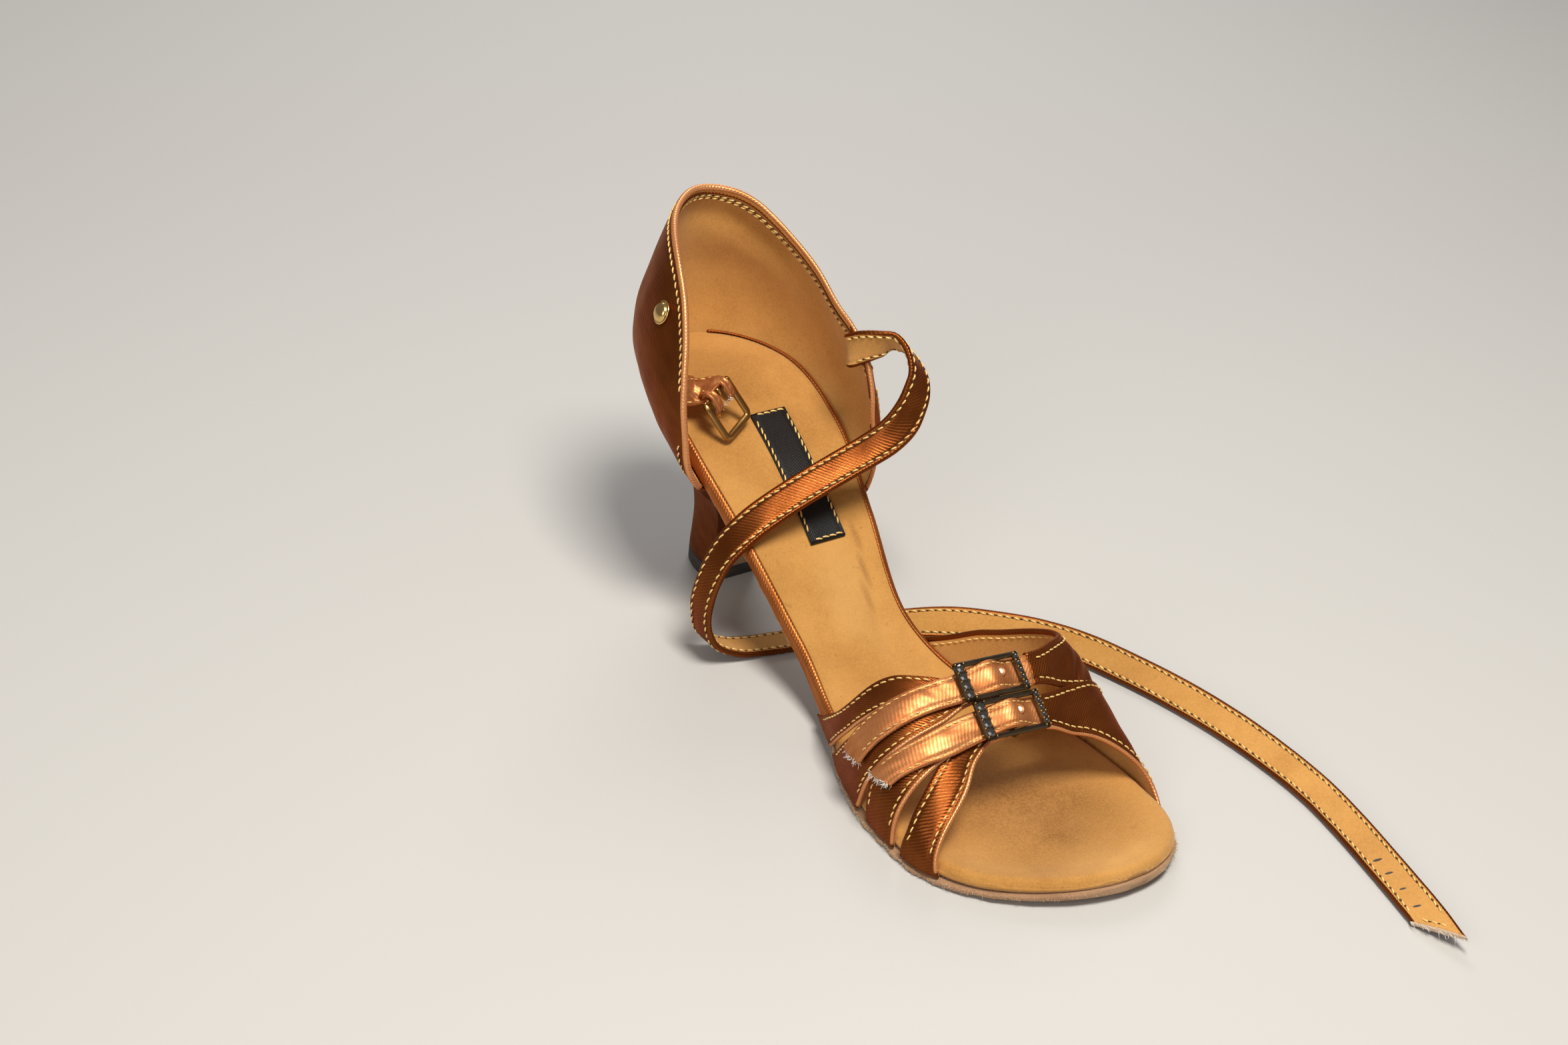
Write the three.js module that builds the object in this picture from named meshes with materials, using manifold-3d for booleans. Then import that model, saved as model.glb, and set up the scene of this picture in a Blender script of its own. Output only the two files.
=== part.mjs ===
// Ladies' latin dance sandal for the right foot, empty, standing on its forefoot and heel.
// Millimetres, +Z up. The toe points to -Y, the inner (medial) side of the foot is +X.
// The origin is on the floor, in the middle of the flat of the tread under the ball of the foot.
import * as THREE from 'three';
import { mergeVertices } from 'three/addons/utils/BufferGeometryUtils.js';
import Module from 'manifold-3d';

// Driving dimensions
const LENGTH = 223.5;          // insole, heel back to toe tip, measured level
const TREAD_STATION = 168;     // way from the heel's back to the origin
const GAP = 0.3;               // clearance between pieces that touch
const HEEL_ROUND = 42;         // length of the heel's round end, seen from above
const TOE_ROUND = 41;          // length of the toe's round end
const TOE_DRIFT = 9;           // the toe tip lies this far to the inner side
const INSOLE_THICK = 3.6;
const INSOLE_EDGE_DROP = 1.1;  // rounding of the padded edge
const OUTSOLE_THICK = 2.5;
const OUTSOLE_START = 56.7;    // the outsole starts just before the heel's breast
const UPPER_CLEAR = 0.6;       // room between the insole's edge and the vamp
const FLAP_THICK = 1.4;        // flap of the outsole on the heel's breast
const FLAP_ROOT = 1.9;         // its extra thickness where it leaves the outsole
const FLAP_INSET = 3.4;        // the flap is narrower than the breast by this on each side
const COUNTER_WALL = 1.9;
const COUNTER_BELLY = 4.2;     // how far the heel cup swells between sole and topline
const STRAP_WALL = 1.4;        // straps of the vamp
const TONGUE_WALL = 1.2;       // tongues that run through the vamp buckles
const STRAP_LIFT = 0.4;       // each strap of the fan lies this much over the next one
const TONGUE_LIFT = 3.1;       // tongues over the last, beside the buckles
const TONGUE_HUMP = 6.5;       // tongues over the last, on top of a buckle's centre bar
const HUMP_REACH = 8;          // half length of that hump
const HEEL_TIP_THICK = 5;
const LABEL = { length: 46, width: 13, thick: 0.7, station: 62.4, x: 5.1, turn: 0.033 };
const VAMP_BUCKLE = { arch: 0.475, turn: 0.1, run: 22, across: 11.8, bar: 1.6, lift: 6.1, pinRadius: 0.6, pinLift: 3.6 };
const PIN_LOOP = { inner: 0.9, outer: 2.25, across: 6.6 };
const ANKLE_STRAP = { width: 10.5, thick: 1.8, tipSlant: 13 };
const BUCKLE_STRAP = { width: 9.4, thick: 1.6 };
const ANKLE_BUCKLE = { run: 15.5, across: 13.6, bar: 1.6, pinRadius: 0.7 };
const ANKLE_LOOP = { inner: 1.0, outer: 2.2, notch: 3.2 };
const PRONG = { inner: 1.0, outer: 1.9, across: 2.2, length: 11.2, radius: 0.7 };
const STUD = { radius: 4.2, dome: 1.7, arc: -46, rise: 0.78 };

// Plan of the insole and height of its top, by the share of the length from the heel's back:
// x of the middle, half width before the ends are rounded, and height over the floor
const LAST = [
  { at: 0.00, middle: 2.0, half: 27.0, top: 70.7 },
  { at: 0.10, middle: 1.7, half: 27.0, top: 68.4 },
  { at: 0.22, middle: 1.3, half: 27.0, top: 57.7 },
  { at: 0.34, middle: 0.3, half: 23.4, top: 40.1 },
  { at: 0.46, middle: -0.7, half: 20.0, top: 20.0 },
  { at: 0.56, middle: 0.3, half: 24.4, top: 9.4 },
  { at: 0.65, middle: 1.0, half: 32.7, top: 6.4 },
  { at: 0.74, middle: 1.2, half: 38.6, top: 6.4 },
  { at: 0.83, middle: 1.0, half: 39.6, top: 6.4 },
  { at: 0.86, middle: 1.0, half: 39.6, top: 6.5 },
  { at: 1.01, middle: 1.0, half: 39.6, top: 9.2 },
];

// How far the outsole's edge stands out from the insole's
const OUTSOLE_EDGE = [
  { at: 0.24, grow: -1.5 },
  { at: 0.46, grow: -1.5 },
  { at: 0.58, grow: 0.6 },
  { at: 0.68, grow: 2.0 },
  { at: 1.02, grow: 2.0 },
];

// Topline of the heel cup, by the way along the insole's edge from the heel's back (outer side negative):
// rise over the insole and how far the topline stands out from the insole's edge
const TOPLINE = [
  { arc: -68, rise: 7, out: 4.0 },
  { arc: -66, rise: 18, out: 5.5 },
  { arc: -63, rise: 26, out: 6.0 },
  { arc: -57, rise: 34, out: 5.0 },
  { arc: -49, rise: 41.5, out: 2.5 },
  { arc: -40, rise: 46.5, out: 0 },
  { arc: -26, rise: 50, out: -3.5 },
  { arc: -12, rise: 51.5, out: -4.5 },
  { arc: 0, rise: 51, out: -3.5 },
  { arc: 12, rise: 50, out: -4 },
  { arc: 20, rise: 48, out: -4 },
  { arc: 27, rise: 44.8, out: -4 },
  { arc: 36, rise: 40.8, out: -4 },
  { arc: 47, rise: 37.6, out: -3.5 },
  { arc: 57, rise: 36, out: -3.5 },
  { arc: 68, rise: 36.5, out: -2.5 },
  { arc: 75, rise: 35, out: -1.5 },
  { arc: 79, rise: 29, out: -0.5 },
  { arc: 80.5, rise: 20, out: 0 },
];

// Last under the vamp: height of its ridge, how square its two sides are and how far the inner one leans out
const VAMP = [
  { station: 112, ridge: 56, outerPower: 2.4, innerPower: 3.0, flare: 3 },
  { station: 130, ridge: 51, outerPower: 2.5, innerPower: 3.4, flare: 4 },
  { station: 150, ridge: 43.5, outerPower: 2.6, innerPower: 3.8, flare: 5 },
  { station: 160, ridge: 38.0, outerPower: 2.6, innerPower: 3.8, flare: 4.5 },
  { station: 170, ridge: 31.2, outerPower: 2.6, innerPower: 3.4, flare: 4 },
  { station: 180, ridge: 24.4, outerPower: 2.6, innerPower: 3.0, flare: 3.5 },
  { station: 190, ridge: 18.0, outerPower: 2.6, innerPower: 2.8, flare: 3 },
  { station: 206, ridge: 11.5, outerPower: 2.6, innerPower: 2.6, flare: 1.5 },
];

// Edges of the vamp's straps. arch is the way over the foot: 0 at the sole's outer edge, 0.5 on the
// ridge, 1 at the sole's inner edge. rear and front are stations of the strap's two edges there.
// layer counts the straps of the fan from below.
const FAN = [
  {
    layer: 3,
    edges: [
      { arch: 0.000, rear: 121, front: 133 },
      { arch: 0.100, rear: 130.5, front: 142 },
      { arch: 0.200, rear: 142, front: 152 },
      { arch: 0.300, rear: 150, front: 160.5 },
      { arch: 0.340, rear: 155, front: 163.5 },
      { arch: 0.380, rear: 159, front: 165.6 },
    ],
  },
  {
    layer: 2,
    edges: [
      { arch: 0.000, rear: 136, front: 160 },
      { arch: 0.100, rear: 144.5, front: 163.5 },
      { arch: 0.200, rear: 153, front: 166.5 },
      { arch: 0.300, rear: 157, front: 168 },
      { arch: 0.380, rear: 158.8, front: 167 },
      { arch: 0.490, rear: 160, front: 166.8 },
    ],
  },
  {
    layer: 1,
    edges: [
      { arch: 0.000, rear: 165, front: 179 },
      { arch: 0.100, rear: 163.5, front: 177.2 },
      { arch: 0.200, rear: 166, front: 176 },
      { arch: 0.260, rear: 168.4, front: 175.6 },
      { arch: 0.300, rear: 170, front: 175.4 },
      { arch: 0.370, rear: 170.4, front: 175 },
    ],
  },
  {
    layer: 0,
    edges: [
      { arch: 0.000, rear: 182.3, front: 195.6 },
      { arch: 0.050, rear: 182.3, front: 193 },
      { arch: 0.100, rear: 180.8, front: 190.2 },
      { arch: 0.200, rear: 176.6, front: 185 },
      { arch: 0.300, rear: 172.2, front: 179.4 },
      { arch: 0.380, rear: 170.4, front: 177.2 },
      { arch: 0.490, rear: 170, front: 176.8 },
    ],
  },
];

// The two inner straps, from the sole's inner edge over the ridge to the tongues' cut ends
const INNER_STRAPS = [
  {
    buckle: 163.4, layer: 0,
    edges: [
      { arch: 1.000, rear: 109, front: 166 },
      { arch: 0.930, rear: 113.5, front: 168 },
      { arch: 0.860, rear: 119.5, front: 169.5 },
      { arch: 0.800, rear: 127.5, front: 170 },
      { arch: 0.775, rear: 137, front: 170 },
      { arch: 0.755, rear: 147, front: 170 },
      { arch: 0.735, rear: 154, front: 169.9 },
      { arch: 0.700, rear: 158, front: 169.4 },
      { arch: 0.620, rear: 161.2, front: 167.6 },
      { arch: 0.500, rear: 160.4, front: 166.8 },
      { arch: 0.390, rear: 159.8, front: 166 },
      { arch: 0.260, rear: 156.4, front: 163.4 },
      { arch: 0.120, rear: 151, front: 159 },
    ],
  },
  {
    buckle: 173.4, layer: 1,
    edges: [
      { arch: 1.000, rear: 163, front: 200.5 },
      { arch: 0.965, rear: 164, front: 195.5 },
      { arch: 0.930, rear: 165, front: 191.5 },
      { arch: 0.860, rear: 166.5, front: 186.6 },
      { arch: 0.780, rear: 168.2, front: 183 },
      { arch: 0.700, rear: 170.4, front: 180.6 },
      { arch: 0.620, rear: 171.2, front: 178.4 },
      { arch: 0.500, rear: 170.4, front: 176.6 },
      { arch: 0.390, rear: 169.8, front: 175.8 },
      { arch: 0.260, rear: 169, front: 176 },
      { arch: 0.120, rear: 165, front: 171.5 },
    ],
  },
];

// Heel block, from the seat (0) to the tip (1): stations of its back and its breast, and its width
const HEEL = [
  { down: 0.00, back: -2.2, breast: 56.0, width: 1.00 },
  { down: 0.12, back: 0.6, breast: 52.0, width: 0.84 },
  { down: 0.30, back: 7.4, breast: 46.6, width: 0.57 },
  { down: 0.55, back: 14.6, breast: 41.2, width: 0.36 },
  { down: 0.80, back: 17.2, breast: 38.4, width: 0.29 },
  { down: 1.00, back: 16.6, breast: 37.8, width: 0.30 },
];

// Ankle strap, from the inner wing over the instep and under the waist: middle line and the direction
// from its lower to its upper edge. It starts inside the wing, at these places of the cup's wall.
const ANKLE_ROOT = { hollow: 0.5, rows: [{ arc: 56, share: 0.84 }, { arc: 63, share: 0.87 }, { arc: 69, share: 0.91 }] };
const ANKLE_ROUTE = [
  { x: 22.6, y: 110.0, z: 87.2, across: [-0.1, 0.1, 0.99] },
  { x: 23.8, y: 105.2, z: 90.6, across: [-0.1, 0.05, 0.99] },
  { x: 27.4, y: 101.6, z: 92.4, across: [-0.22, -0.2, 0.95] },
  { x: 31.0, y: 100.0, z: 93.0, across: [-0.51, -0.61, 0.61] },
  { x: 33.6, y: 96.7, z: 91.4, across: [-0.72, -0.52, 0.46] },
  { x: 34.4, y: 92.9, z: 88.3, across: [-0.82, -0.33, 0.47] },
  { x: 33.9, y: 89.9, z: 85.1, across: [-0.84, -0.11, 0.53] },
  { x: 32.3, y: 88.1, z: 81.2, across: [-0.85, 0.13, 0.51] },
  { x: 30.2, y: 87.2, z: 76.8, across: [-0.81, 0.32, 0.49] },
  { x: 27.0, y: 86.6, z: 72.4, across: [-0.61, 0.63, 0.47] },
  { x: 23.0, y: 87.6, z: 68.0, across: [-0.43, 0.77, 0.47] },
  { x: 16.8, y: 89.4, z: 63.7, across: [-0.27, 0.86, 0.43] },
  { x: 8.0, y: 90.8, z: 59.6, across: [-0.2, 0.88, 0.45] },
  { x: -7.0, y: 92.0, z: 53.4, across: [-0.1, 0.86, 0.5] },
  { x: -21.0, y: 93.0, z: 46.2, across: [0, 0.85, 0.5] },
  { x: -30.0, y: 93.5, z: 38.5, across: [0.05, 0.94, 0.3] },
  { x: -35.0, y: 93.8, z: 28.0, across: [0, 1, 0] },
  { x: -36.0, y: 94.2, z: 17.0, across: [0, 1, 0] },
  { x: -32.5, y: 94.2, z: 8.0, across: [0, 1, 0] },
  { x: -24.0, y: 93.0, z: 3.0, across: [0.05, 1, 0] },
  { x: -8.0, y: 90.0, z: 1.4, across: [0.15, 1, 0] },
  { x: 12.0, y: 86.5, z: 1.5, across: [0.25, 1, 0.05] },
  { x: 28.0, y: 81.0, z: 2.8, across: [0.3, 0.9, 0.35] },
];

// Where it lies on the floor: its lower edge and its tilt
const FLOOR_RUN = [
  { x: 42.3, y: 67.8, tilt: 40 },
  { x: 53.8, y: 58.5, tilt: 44 },
  { x: 62.2, y: 50.0, tilt: 42 },
  { x: 69.4, y: 39.0, tilt: 38 },
  { x: 75.4, y: 21.5, tilt: 38 },
  { x: 79.5, y: 5.0, tilt: 38 },
  { x: 82.3, y: -13, tilt: 34 },
  { x: 83.3, y: -31, tilt: 28 },
  { x: 82.6, y: -48, tilt: 24 },
  { x: 80.0, y: -63, tilt: 22 },
  { x: 75.4, y: -82, tilt: 20 },
  { x: 69.4, y: -104, tilt: 20 },
  { x: 67.0, y: -111, tilt: 20 },
];

// Short strap on the outer wing: middle line and the direction of its width
const BUCKLE_ROUTE = [
  { x: -30.9, y: 116.8, z: 83.4, across: [0, -0.9, 0.4] },
  { x: -28.4, y: 117.6, z: 84.6, across: [-0.1, -0.9, 0.3] },
  { x: -24.0, y: 120.4, z: 84.0, across: [-0.3, -0.9, 0.1] },
  { x: -19.8, y: 124.2, z: 81.0, across: [-0.6, -0.7, -0.2] },
  { x: -16.8, y: 126.6, z: 76.9, across: [-0.86, -0.37, -0.35] },
];

// The ankle buckle hangs from the short strap: middle of its bar, the way it hangs and the bar's direction
const ANKLE_BAR = {
  middle: new THREE.Vector3(-15.1, 125.5, 73.9),
  hang: new THREE.Vector3(0.474, -0.306, -0.825),
  along: new THREE.Vector3(-0.857, -0.375, -0.353),
};

const COLOURS = {
  satin: { color: 0x8a4a20, roughness: 0.38, metalness: 0 },
  suede: { color: 0xc79a5a, roughness: 0.9, metalness: 0 },
  sole: { color: 0xb99a80, roughness: 0.95, metalness: 0 },
  label: { color: 0x1a1a1c, roughness: 0.8, metalness: 0 },
  rubber: { color: 0x33261f, roughness: 0.6, metalness: 0 },
  metal: { color: 0x6b5a3c, roughness: 0.35, metalness: 1 },
  gold: { color: 0xd6a548, roughness: 0.2, metalness: 1 },
};

const wasm = await Module();
wasm.setup();
const shoe = new THREE.Group();

// Smooth monotone curve through one column of a table
function column(table, key, value) {
  const rows = [...table].sort((a, b) => a[key] - b[key]);
  const xs = rows.map((row) => row[key]);
  const ys = rows.map((row) => row[value]);
  const steps = xs.slice(1).map((x, i) => (ys[i + 1] - ys[i]) / (x - xs[i]));
  const slopes = ys.map((_, i) => {
    if (i === 0) return steps[0];
    if (i === steps.length) return steps[i - 1];
    if (steps[i - 1] * steps[i] <= 0) return 0;
    return 2 / (1 / steps[i - 1] + 1 / steps[i]);
  });
  return (x) => {
    const clamped = Math.min(Math.max(x, xs[0]), xs[xs.length - 1]);
    let i = 0;
    while (i < steps.length - 1 && clamped > xs[i + 1]) i += 1;
    const width = xs[i + 1] - xs[i];
    const t = (clamped - xs[i]) / width;
    const rise = t * t * (3 - 2 * t);
    const start = t * (1 - t) * (1 - t);
    const end = t * t * (t - 1);
    return ys[i] * (1 - rise) + ys[i + 1] * rise + width * (slopes[i] * start + slopes[i + 1] * end);
  };
}

const lerp = THREE.MathUtils.lerp;
const smoothstep = THREE.MathUtils.smoothstep;
const point = (x, y, z) => new THREE.Vector3(x, y, z);
const along = (station) => TREAD_STATION - station;

// Closed solid through sections, each made of two chains of points with the same count
function loft(sections) {
  const chain = sections[0].a.length;
  const ring = 2 * chain;
  const vertices = [];
  for (const { a, b } of sections) {
    for (const p of [...a, ...[...b].reverse()]) vertices.push(p.x, p.y, p.z);
  }
  const faces = [];
  for (let i = 0; i + 1 < sections.length; i += 1) {
    for (let j = 0; j < ring; j += 1) {
      const here = i * ring + j;
      const next = i * ring + ((j + 1) % ring);
      faces.push(here, next, next + ring, here, next + ring, here + ring);
    }
  }
  const last = (sections.length - 1) * ring;
  for (let j = 0; j + 1 < chain; j += 1) {
    const k = ring - 1 - j;
    faces.push(j, k, k - 1, j, k - 1, j + 1);
    faces.push(last + j, last + k - 1, last + k, last + j, last + j + 1, last + k - 1);
  }
  const geometry = new THREE.BufferGeometry();
  geometry.setAttribute('position', new THREE.Float32BufferAttribute(vertices, 3));
  geometry.setIndex(volume(vertices, faces) < 0 ? faces.reverse() : faces);
  return geometry;
}

// Six times the signed volume inside a triangle mesh
function volume(vertices, faces) {
  const corner = (i) => new THREE.Vector3().fromArray(vertices, 3 * i);
  let sum = 0;
  for (let i = 0; i < faces.length; i += 3) {
    sum += corner(faces[i]).dot(corner(faces[i + 1]).cross(corner(faces[i + 2])));
  }
  return sum;
}

// A three.js geometry as a solid for cutting and joining, and back
function solid(geometry) {
  const bare = geometry.clone();
  for (const name of ['normal', 'uv']) bare.deleteAttribute(name);
  const merged = mergeVertices(bare, 1e-4);
  return new wasm.Manifold(new wasm.Mesh({
    numProp: 3,
    vertProperties: new Float32Array(merged.attributes.position.array),
    triVerts: new Uint32Array(merged.index.array),
  }));
}

function geometryOf(body) {
  const mesh = body.getMesh();
  const geometry = new THREE.BufferGeometry();
  geometry.setAttribute('position', new THREE.BufferAttribute(mesh.vertProperties.slice(), 3));
  geometry.setIndex(new THREE.BufferAttribute(mesh.triVerts.slice(), 1));
  return geometry;
}

const joined = (geometries) => geometryOf(geometries.map(solid).reduce((sum, next) => sum.add(next)));

function add(name, geometry, colour) {
  const mesh = new THREE.Mesh(geometry, new THREE.MeshStandardMaterial(COLOURS[colour]));
  mesh.name = name;
  shoe.add(mesh);
}

// The last: plan, heights and layers of the sole
const middleAt = column(LAST, 'at', 'middle');
const halfAt = column(LAST, 'at', 'half');
const topAt = column(LAST, 'at', 'top');
const outsoleGrow = column(OUTSOLE_EDGE, 'at', 'grow');

function plan(station, grow = 0) {
  const share = station / LENGTH;
  const heelLeft = Math.min(1, Math.max(0, (HEEL_ROUND - station) / (HEEL_ROUND + grow)));
  const toeLeft = Math.min(1, Math.max(0, (station - LENGTH + TOE_ROUND) / (TOE_ROUND + grow)));
  const round = Math.sqrt(1 - heelLeft ** 2) * Math.sqrt(1 - toeLeft ** 2);
  const half = (halfAt(share) + grow) * round;
  const middle = middleAt(share) + TOE_DRIFT * toeLeft ** 2;
  return { middle, half, outer: middle - half, inner: middle + half };
}

const insoleTop = (station) => topAt(station / LENGTH);

// Layers are measured square to the slope, so on a slope they are taller
function slopeFactor(station) {
  const slope = (insoleTop(station + 1) - insoleTop(station - 1)) / 2;
  return Math.sqrt(1 + slope * slope);
}
const below = (station, depth) => insoleTop(station) - depth * slopeFactor(station);
const insoleBottom = (station) => below(station, INSOLE_THICK);
const outsoleTop = (station) => below(station, INSOLE_THICK + GAP);
const outsoleBottom = (station) => below(station, INSOLE_THICK + GAP + OUTSOLE_THICK);

// Stations from one end to the other, closer together at the ends
function stations(first, last, count) {
  return Array.from({ length: count + 1 }, (_, i) => lerp(first, last, (1 - Math.cos((Math.PI * i) / count)) / 2));
}

const END_CLEAR = 0.15;
const SOLE_STATIONS = [...stations(END_CLEAR, LENGTH - END_CLEAR, 48), OUTSOLE_START].sort((a, b) => a - b);

function insole() {
  const across = 8;
  const sections = SOLE_STATIONS.map((station) => {
    const { middle, half } = plan(station);
    const a = [];
    const b = [];
    for (let i = 0; i <= across; i += 1) {
      const side = -Math.cos((Math.PI * i) / across);
      const x = middle + half * side;
      a.push(point(x, along(station), insoleTop(station) - INSOLE_EDGE_DROP * side ** 8));
      b.push(point(x, along(station), insoleBottom(station)));
    }
    return { a, b };
  });
  return loft(sections);
}

function outsole() {
  const across = 6;
  const toe = [0.3, 0.65, 1].map((share) => LENGTH - END_CLEAR + share * outsoleGrow(1));
  const shared = SOLE_STATIONS.filter((station) => station >= OUTSOLE_START);
  const sections = [...shared, ...toe].map((station) => {
    const { middle, half } = plan(station, outsoleGrow(station / LENGTH));
    const a = [];
    const b = [];
    for (let i = 0; i <= across; i += 1) {
      const x = lerp(middle - half, middle + half, i / across);
      a.push(point(x, along(station), outsoleTop(station)));
      b.push(point(x, along(station), outsoleBottom(station)));
    }
    return { a, b };
  });
  return joined([loft(sections), breastFlap()]);
}

// Heel: the seat's outline shrinks and flattens on its way down
const heelBack = column(HEEL, 'down', 'back');
const heelBreast = column(HEEL, 'down', 'breast');
const heelWidth = column(HEEL, 'down', 'width');
const HEEL_BOTTOM = HEEL_TIP_THICK + GAP;
const SEAT_GROW = GAP + COUNTER_WALL;
const heelTop = (station) => insoleBottom(station) - GAP;

function heelPoint(down, share, side) {
  const seat = lerp(END_CLEAR - SEAT_GROW, HEEL[0].breast, share);
  const edge = plan(seat, SEAT_GROW);
  const middle = lerp(edge.middle, middleAt(0.1), Math.min(1, down * 3));
  const station = lerp(heelBack(down), heelBreast(down), share);
  const drop = (1 - down) * (heelTop(Math.max(seat, 0)) - HEEL_BOTTOM);
  return point(middle + side * edge.half * heelWidth(down), along(station), HEEL_BOTTOM + drop);
}

function heelRing(down, lowerTo = null) {
  const shares = stations(0, 1, 14).map((share) => share ** 1.3);
  const chain = (side) => shares.map((share) => {
    const p = heelPoint(down, share, side);
    return lowerTo === null ? p : p.setZ(lowerTo);
  });
  return { a: chain(-1), b: chain(1) };
}

function heel() {
  const levels = Array.from({ length: 15 }, (_, i) => i / 14);
  return loft(levels.map((down) => heelRing(down)));
}

const heelTip = () => loft([heelRing(1, HEEL_TIP_THICK), heelRing(1, 0)]);

// The flap covers the breast from the outsole down to the tip
function breastFlap() {
  const count = 10;
  const sections = [];
  for (let i = 0; i <= count; i += 1) {
    const down = lerp(0.045, 0.99, (i / count) ** 1.4);
    const outer = heelPoint(down, 1, -1);
    const inner = heelPoint(down, 1, 1);
    const inset = Math.min(FLAP_INSET, (inner.x - outer.x) / 4);
    const row = (depth) => [outer.x + inset, inner.x - inset].map((x) => point(x, outer.y - depth, outer.z));
    const front = GAP + FLAP_THICK + FLAP_ROOT * (1 - i / count) ** 6;
    sections.push({ a: row(front), b: row(GAP) });
  }
  return loft(sections);
}

// Heel cup of the upper: the insole's edge, walked from the heel's back along both sides
function edgeWalk(side) {
  const walk = [{ arc: 0, station: 0, x: middleAt(0), y: along(0) }];
  for (let station = 0.05; station < 90; station += station < 4 ? 0.05 : 0.5) {
    const x = side < 0 ? plan(station).outer : plan(station).inner;
    const before = walk[walk.length - 1];
    const arc = before.arc + Math.hypot(x - before.x, along(station) - before.y);
    walk.push({ arc, station, x, y: along(station) });
  }
  return walk;
}
const WALKS = { outer: edgeWalk(-1), inner: edgeWalk(1) };

function edgeAt(arc) {
  const walk = arc < 0 ? WALKS.outer : WALKS.inner;
  const key = { x: 0, y: 0, station: 0 };
  const i = Math.max(1, walk.findIndex((step) => step.arc >= Math.abs(arc)));
  const t = (Math.abs(arc) - walk[i - 1].arc) / (walk[i].arc - walk[i - 1].arc);
  for (const name of Object.keys(key)) key[name] = lerp(walk[i - 1][name], walk[i][name], t);
  return key;
}

function edgeNormal(arc) {
  const before = edgeAt(arc - 1.5);
  const after = edgeAt(arc + 1.5);
  return point(before.y - after.y, after.x - before.x, 0).normalize();
}

const toplineRise = column(TOPLINE, 'arc', 'rise');
const toplineOut = column(TOPLINE, 'arc', 'out');

// A point of the cup's wall: share of the height, and depth outwards from its inner face
function cupPoint(arc, share, depth) {
  const edge = edgeAt(arc);
  const normal = edgeNormal(arc);
  const foot = insoleBottom(edge.station);
  const height = insoleTop(edge.station) + toplineRise(arc) - foot;
  const swell = COUNTER_BELLY * Math.min(1, height / 40);
  const outAt = (t) => GAP + toplineOut(arc) * t ** 1.5 + swell * Math.sin(Math.PI * Math.min(1, t) ** 0.8);
  const lean = (outAt(share + 0.01) - outAt(share - 0.01)) / (0.02 * height);
  const tilt = share === 0 ? 0 : Math.atan(lean);
  const out = outAt(share) + depth * Math.cos(tilt);
  return point(edge.x, edge.y, foot + share * height - depth * Math.sin(tilt)).addScaledVector(normal, out);
}

function counter() {
  const first = TOPLINE[0].arc;
  const last = TOPLINE[TOPLINE.length - 1].arc;
  const levels = Array.from({ length: 9 }, (_, i) => i / 8);
  const even = (i) => lerp(first, last, i / 44);
  const sections = stations(first, last, 44).map((arc, i) => (arc + even(i)) / 2).map((arc) => ({
    a: levels.map((share) => cupPoint(arc, share, 0)),
    b: levels.map((share) => cupPoint(arc, share, COUNTER_WALL)),
  }));
  return loft(sections);
}

// Last under the vamp: a rounded arch at each station
const ridgeAt = column(VAMP, 'station', 'ridge');
const outerPower = column(VAMP, 'station', 'outerPower');
const innerPower = column(VAMP, 'station', 'innerPower');
const innerFlare = column(VAMP, 'station', 'flare');

function archPoint(station, arch) {
  const edge = plan(station);
  const foot = outsoleTop(station) + GAP;
  const half = edge.half + UPPER_CLEAR;
  const height = ridgeAt(station) - foot;
  const angle = Math.PI * arch;
  const power = lerp(outerPower(station), innerPower(station), smoothstep(arch, 0.4, 0.6));
  const square = Math.abs(Math.cos(angle) / half) ** power + Math.abs(Math.sin(angle) / height) ** power;
  const reach = square ** (-1 / power);
  const lean = innerFlare(station) * Math.sin(angle) * smoothstep(arch, 0.5, 0.75);
  return point(edge.middle - reach * Math.cos(angle) + lean, along(station), foot + reach * Math.sin(angle));
}

function archNormal(station, arch) {
  const over = archPoint(station, arch + 0.004).sub(archPoint(station, arch - 0.004));
  const forward = archPoint(station + 0.5, arch).sub(archPoint(station - 0.5, arch));
  return forward.cross(over).normalize();
}

const onVamp = (station, arch, lift) =>
  archPoint(station, arch).addScaledVector(archNormal(station, arch), lift);

// A strap of the vamp between its two edges, lift(arch, station) over the last
function vampStrap({ edges, steps, across, lift, wall }) {
  const rear = column(edges, 'arch', 'rear');
  const front = column(edges, 'arch', 'front');
  const first = edges[0].arch;
  const last = edges[edges.length - 1].arch;
  const sections = [];
  for (let i = 0; i <= steps; i += 1) {
    const arch = lerp(first, last, i / steps);
    const a = [];
    const b = [];
    for (let j = 0; j <= across; j += 1) {
      const station = lerp(rear(arch), front(arch), j / across);
      const height = lift(arch, station);
      a.push(onVamp(station, arch, height));
      b.push(onVamp(station, arch, height + wall));
    }
    sections.push({ a, b });
  }
  return loft(sections);
}

// The fan's straps lie side by side at the sole and over each other towards the buckles
function vampOuter() {
  const straps = FAN.map(({ layer, edges }) => vampStrap({
    edges,
    steps: layer % 2 === 0 ? 18 : 14,
    across: 3,
    lift: (arch) => layer * STRAP_LIFT * smoothstep(arch, 0.0, 0.12) * (1 - smoothstep(arch, 0.36, 0.44)),
    wall: STRAP_WALL,
  }));
  return joined([...straps, ...INNER_STRAPS.map(({ buckle }) => pinLoop(buckle))]);
}

// The tongues leave the last, pass under both end bars of their buckle and over its pin
const bucklePlace = (station) => {
  const { arch, turn } = VAMP_BUCKLE;
  const middle = archPoint(station, arch);
  const normal = archNormal(station, arch);
  const run = archPoint(station, arch + 0.03).sub(archPoint(station, arch - 0.03)).normalize().applyAxisAngle(normal, -turn);
  const across = new THREE.Vector3().crossVectors(normal, run).normalize();
  return { middle, normal, run, across };
};

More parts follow.
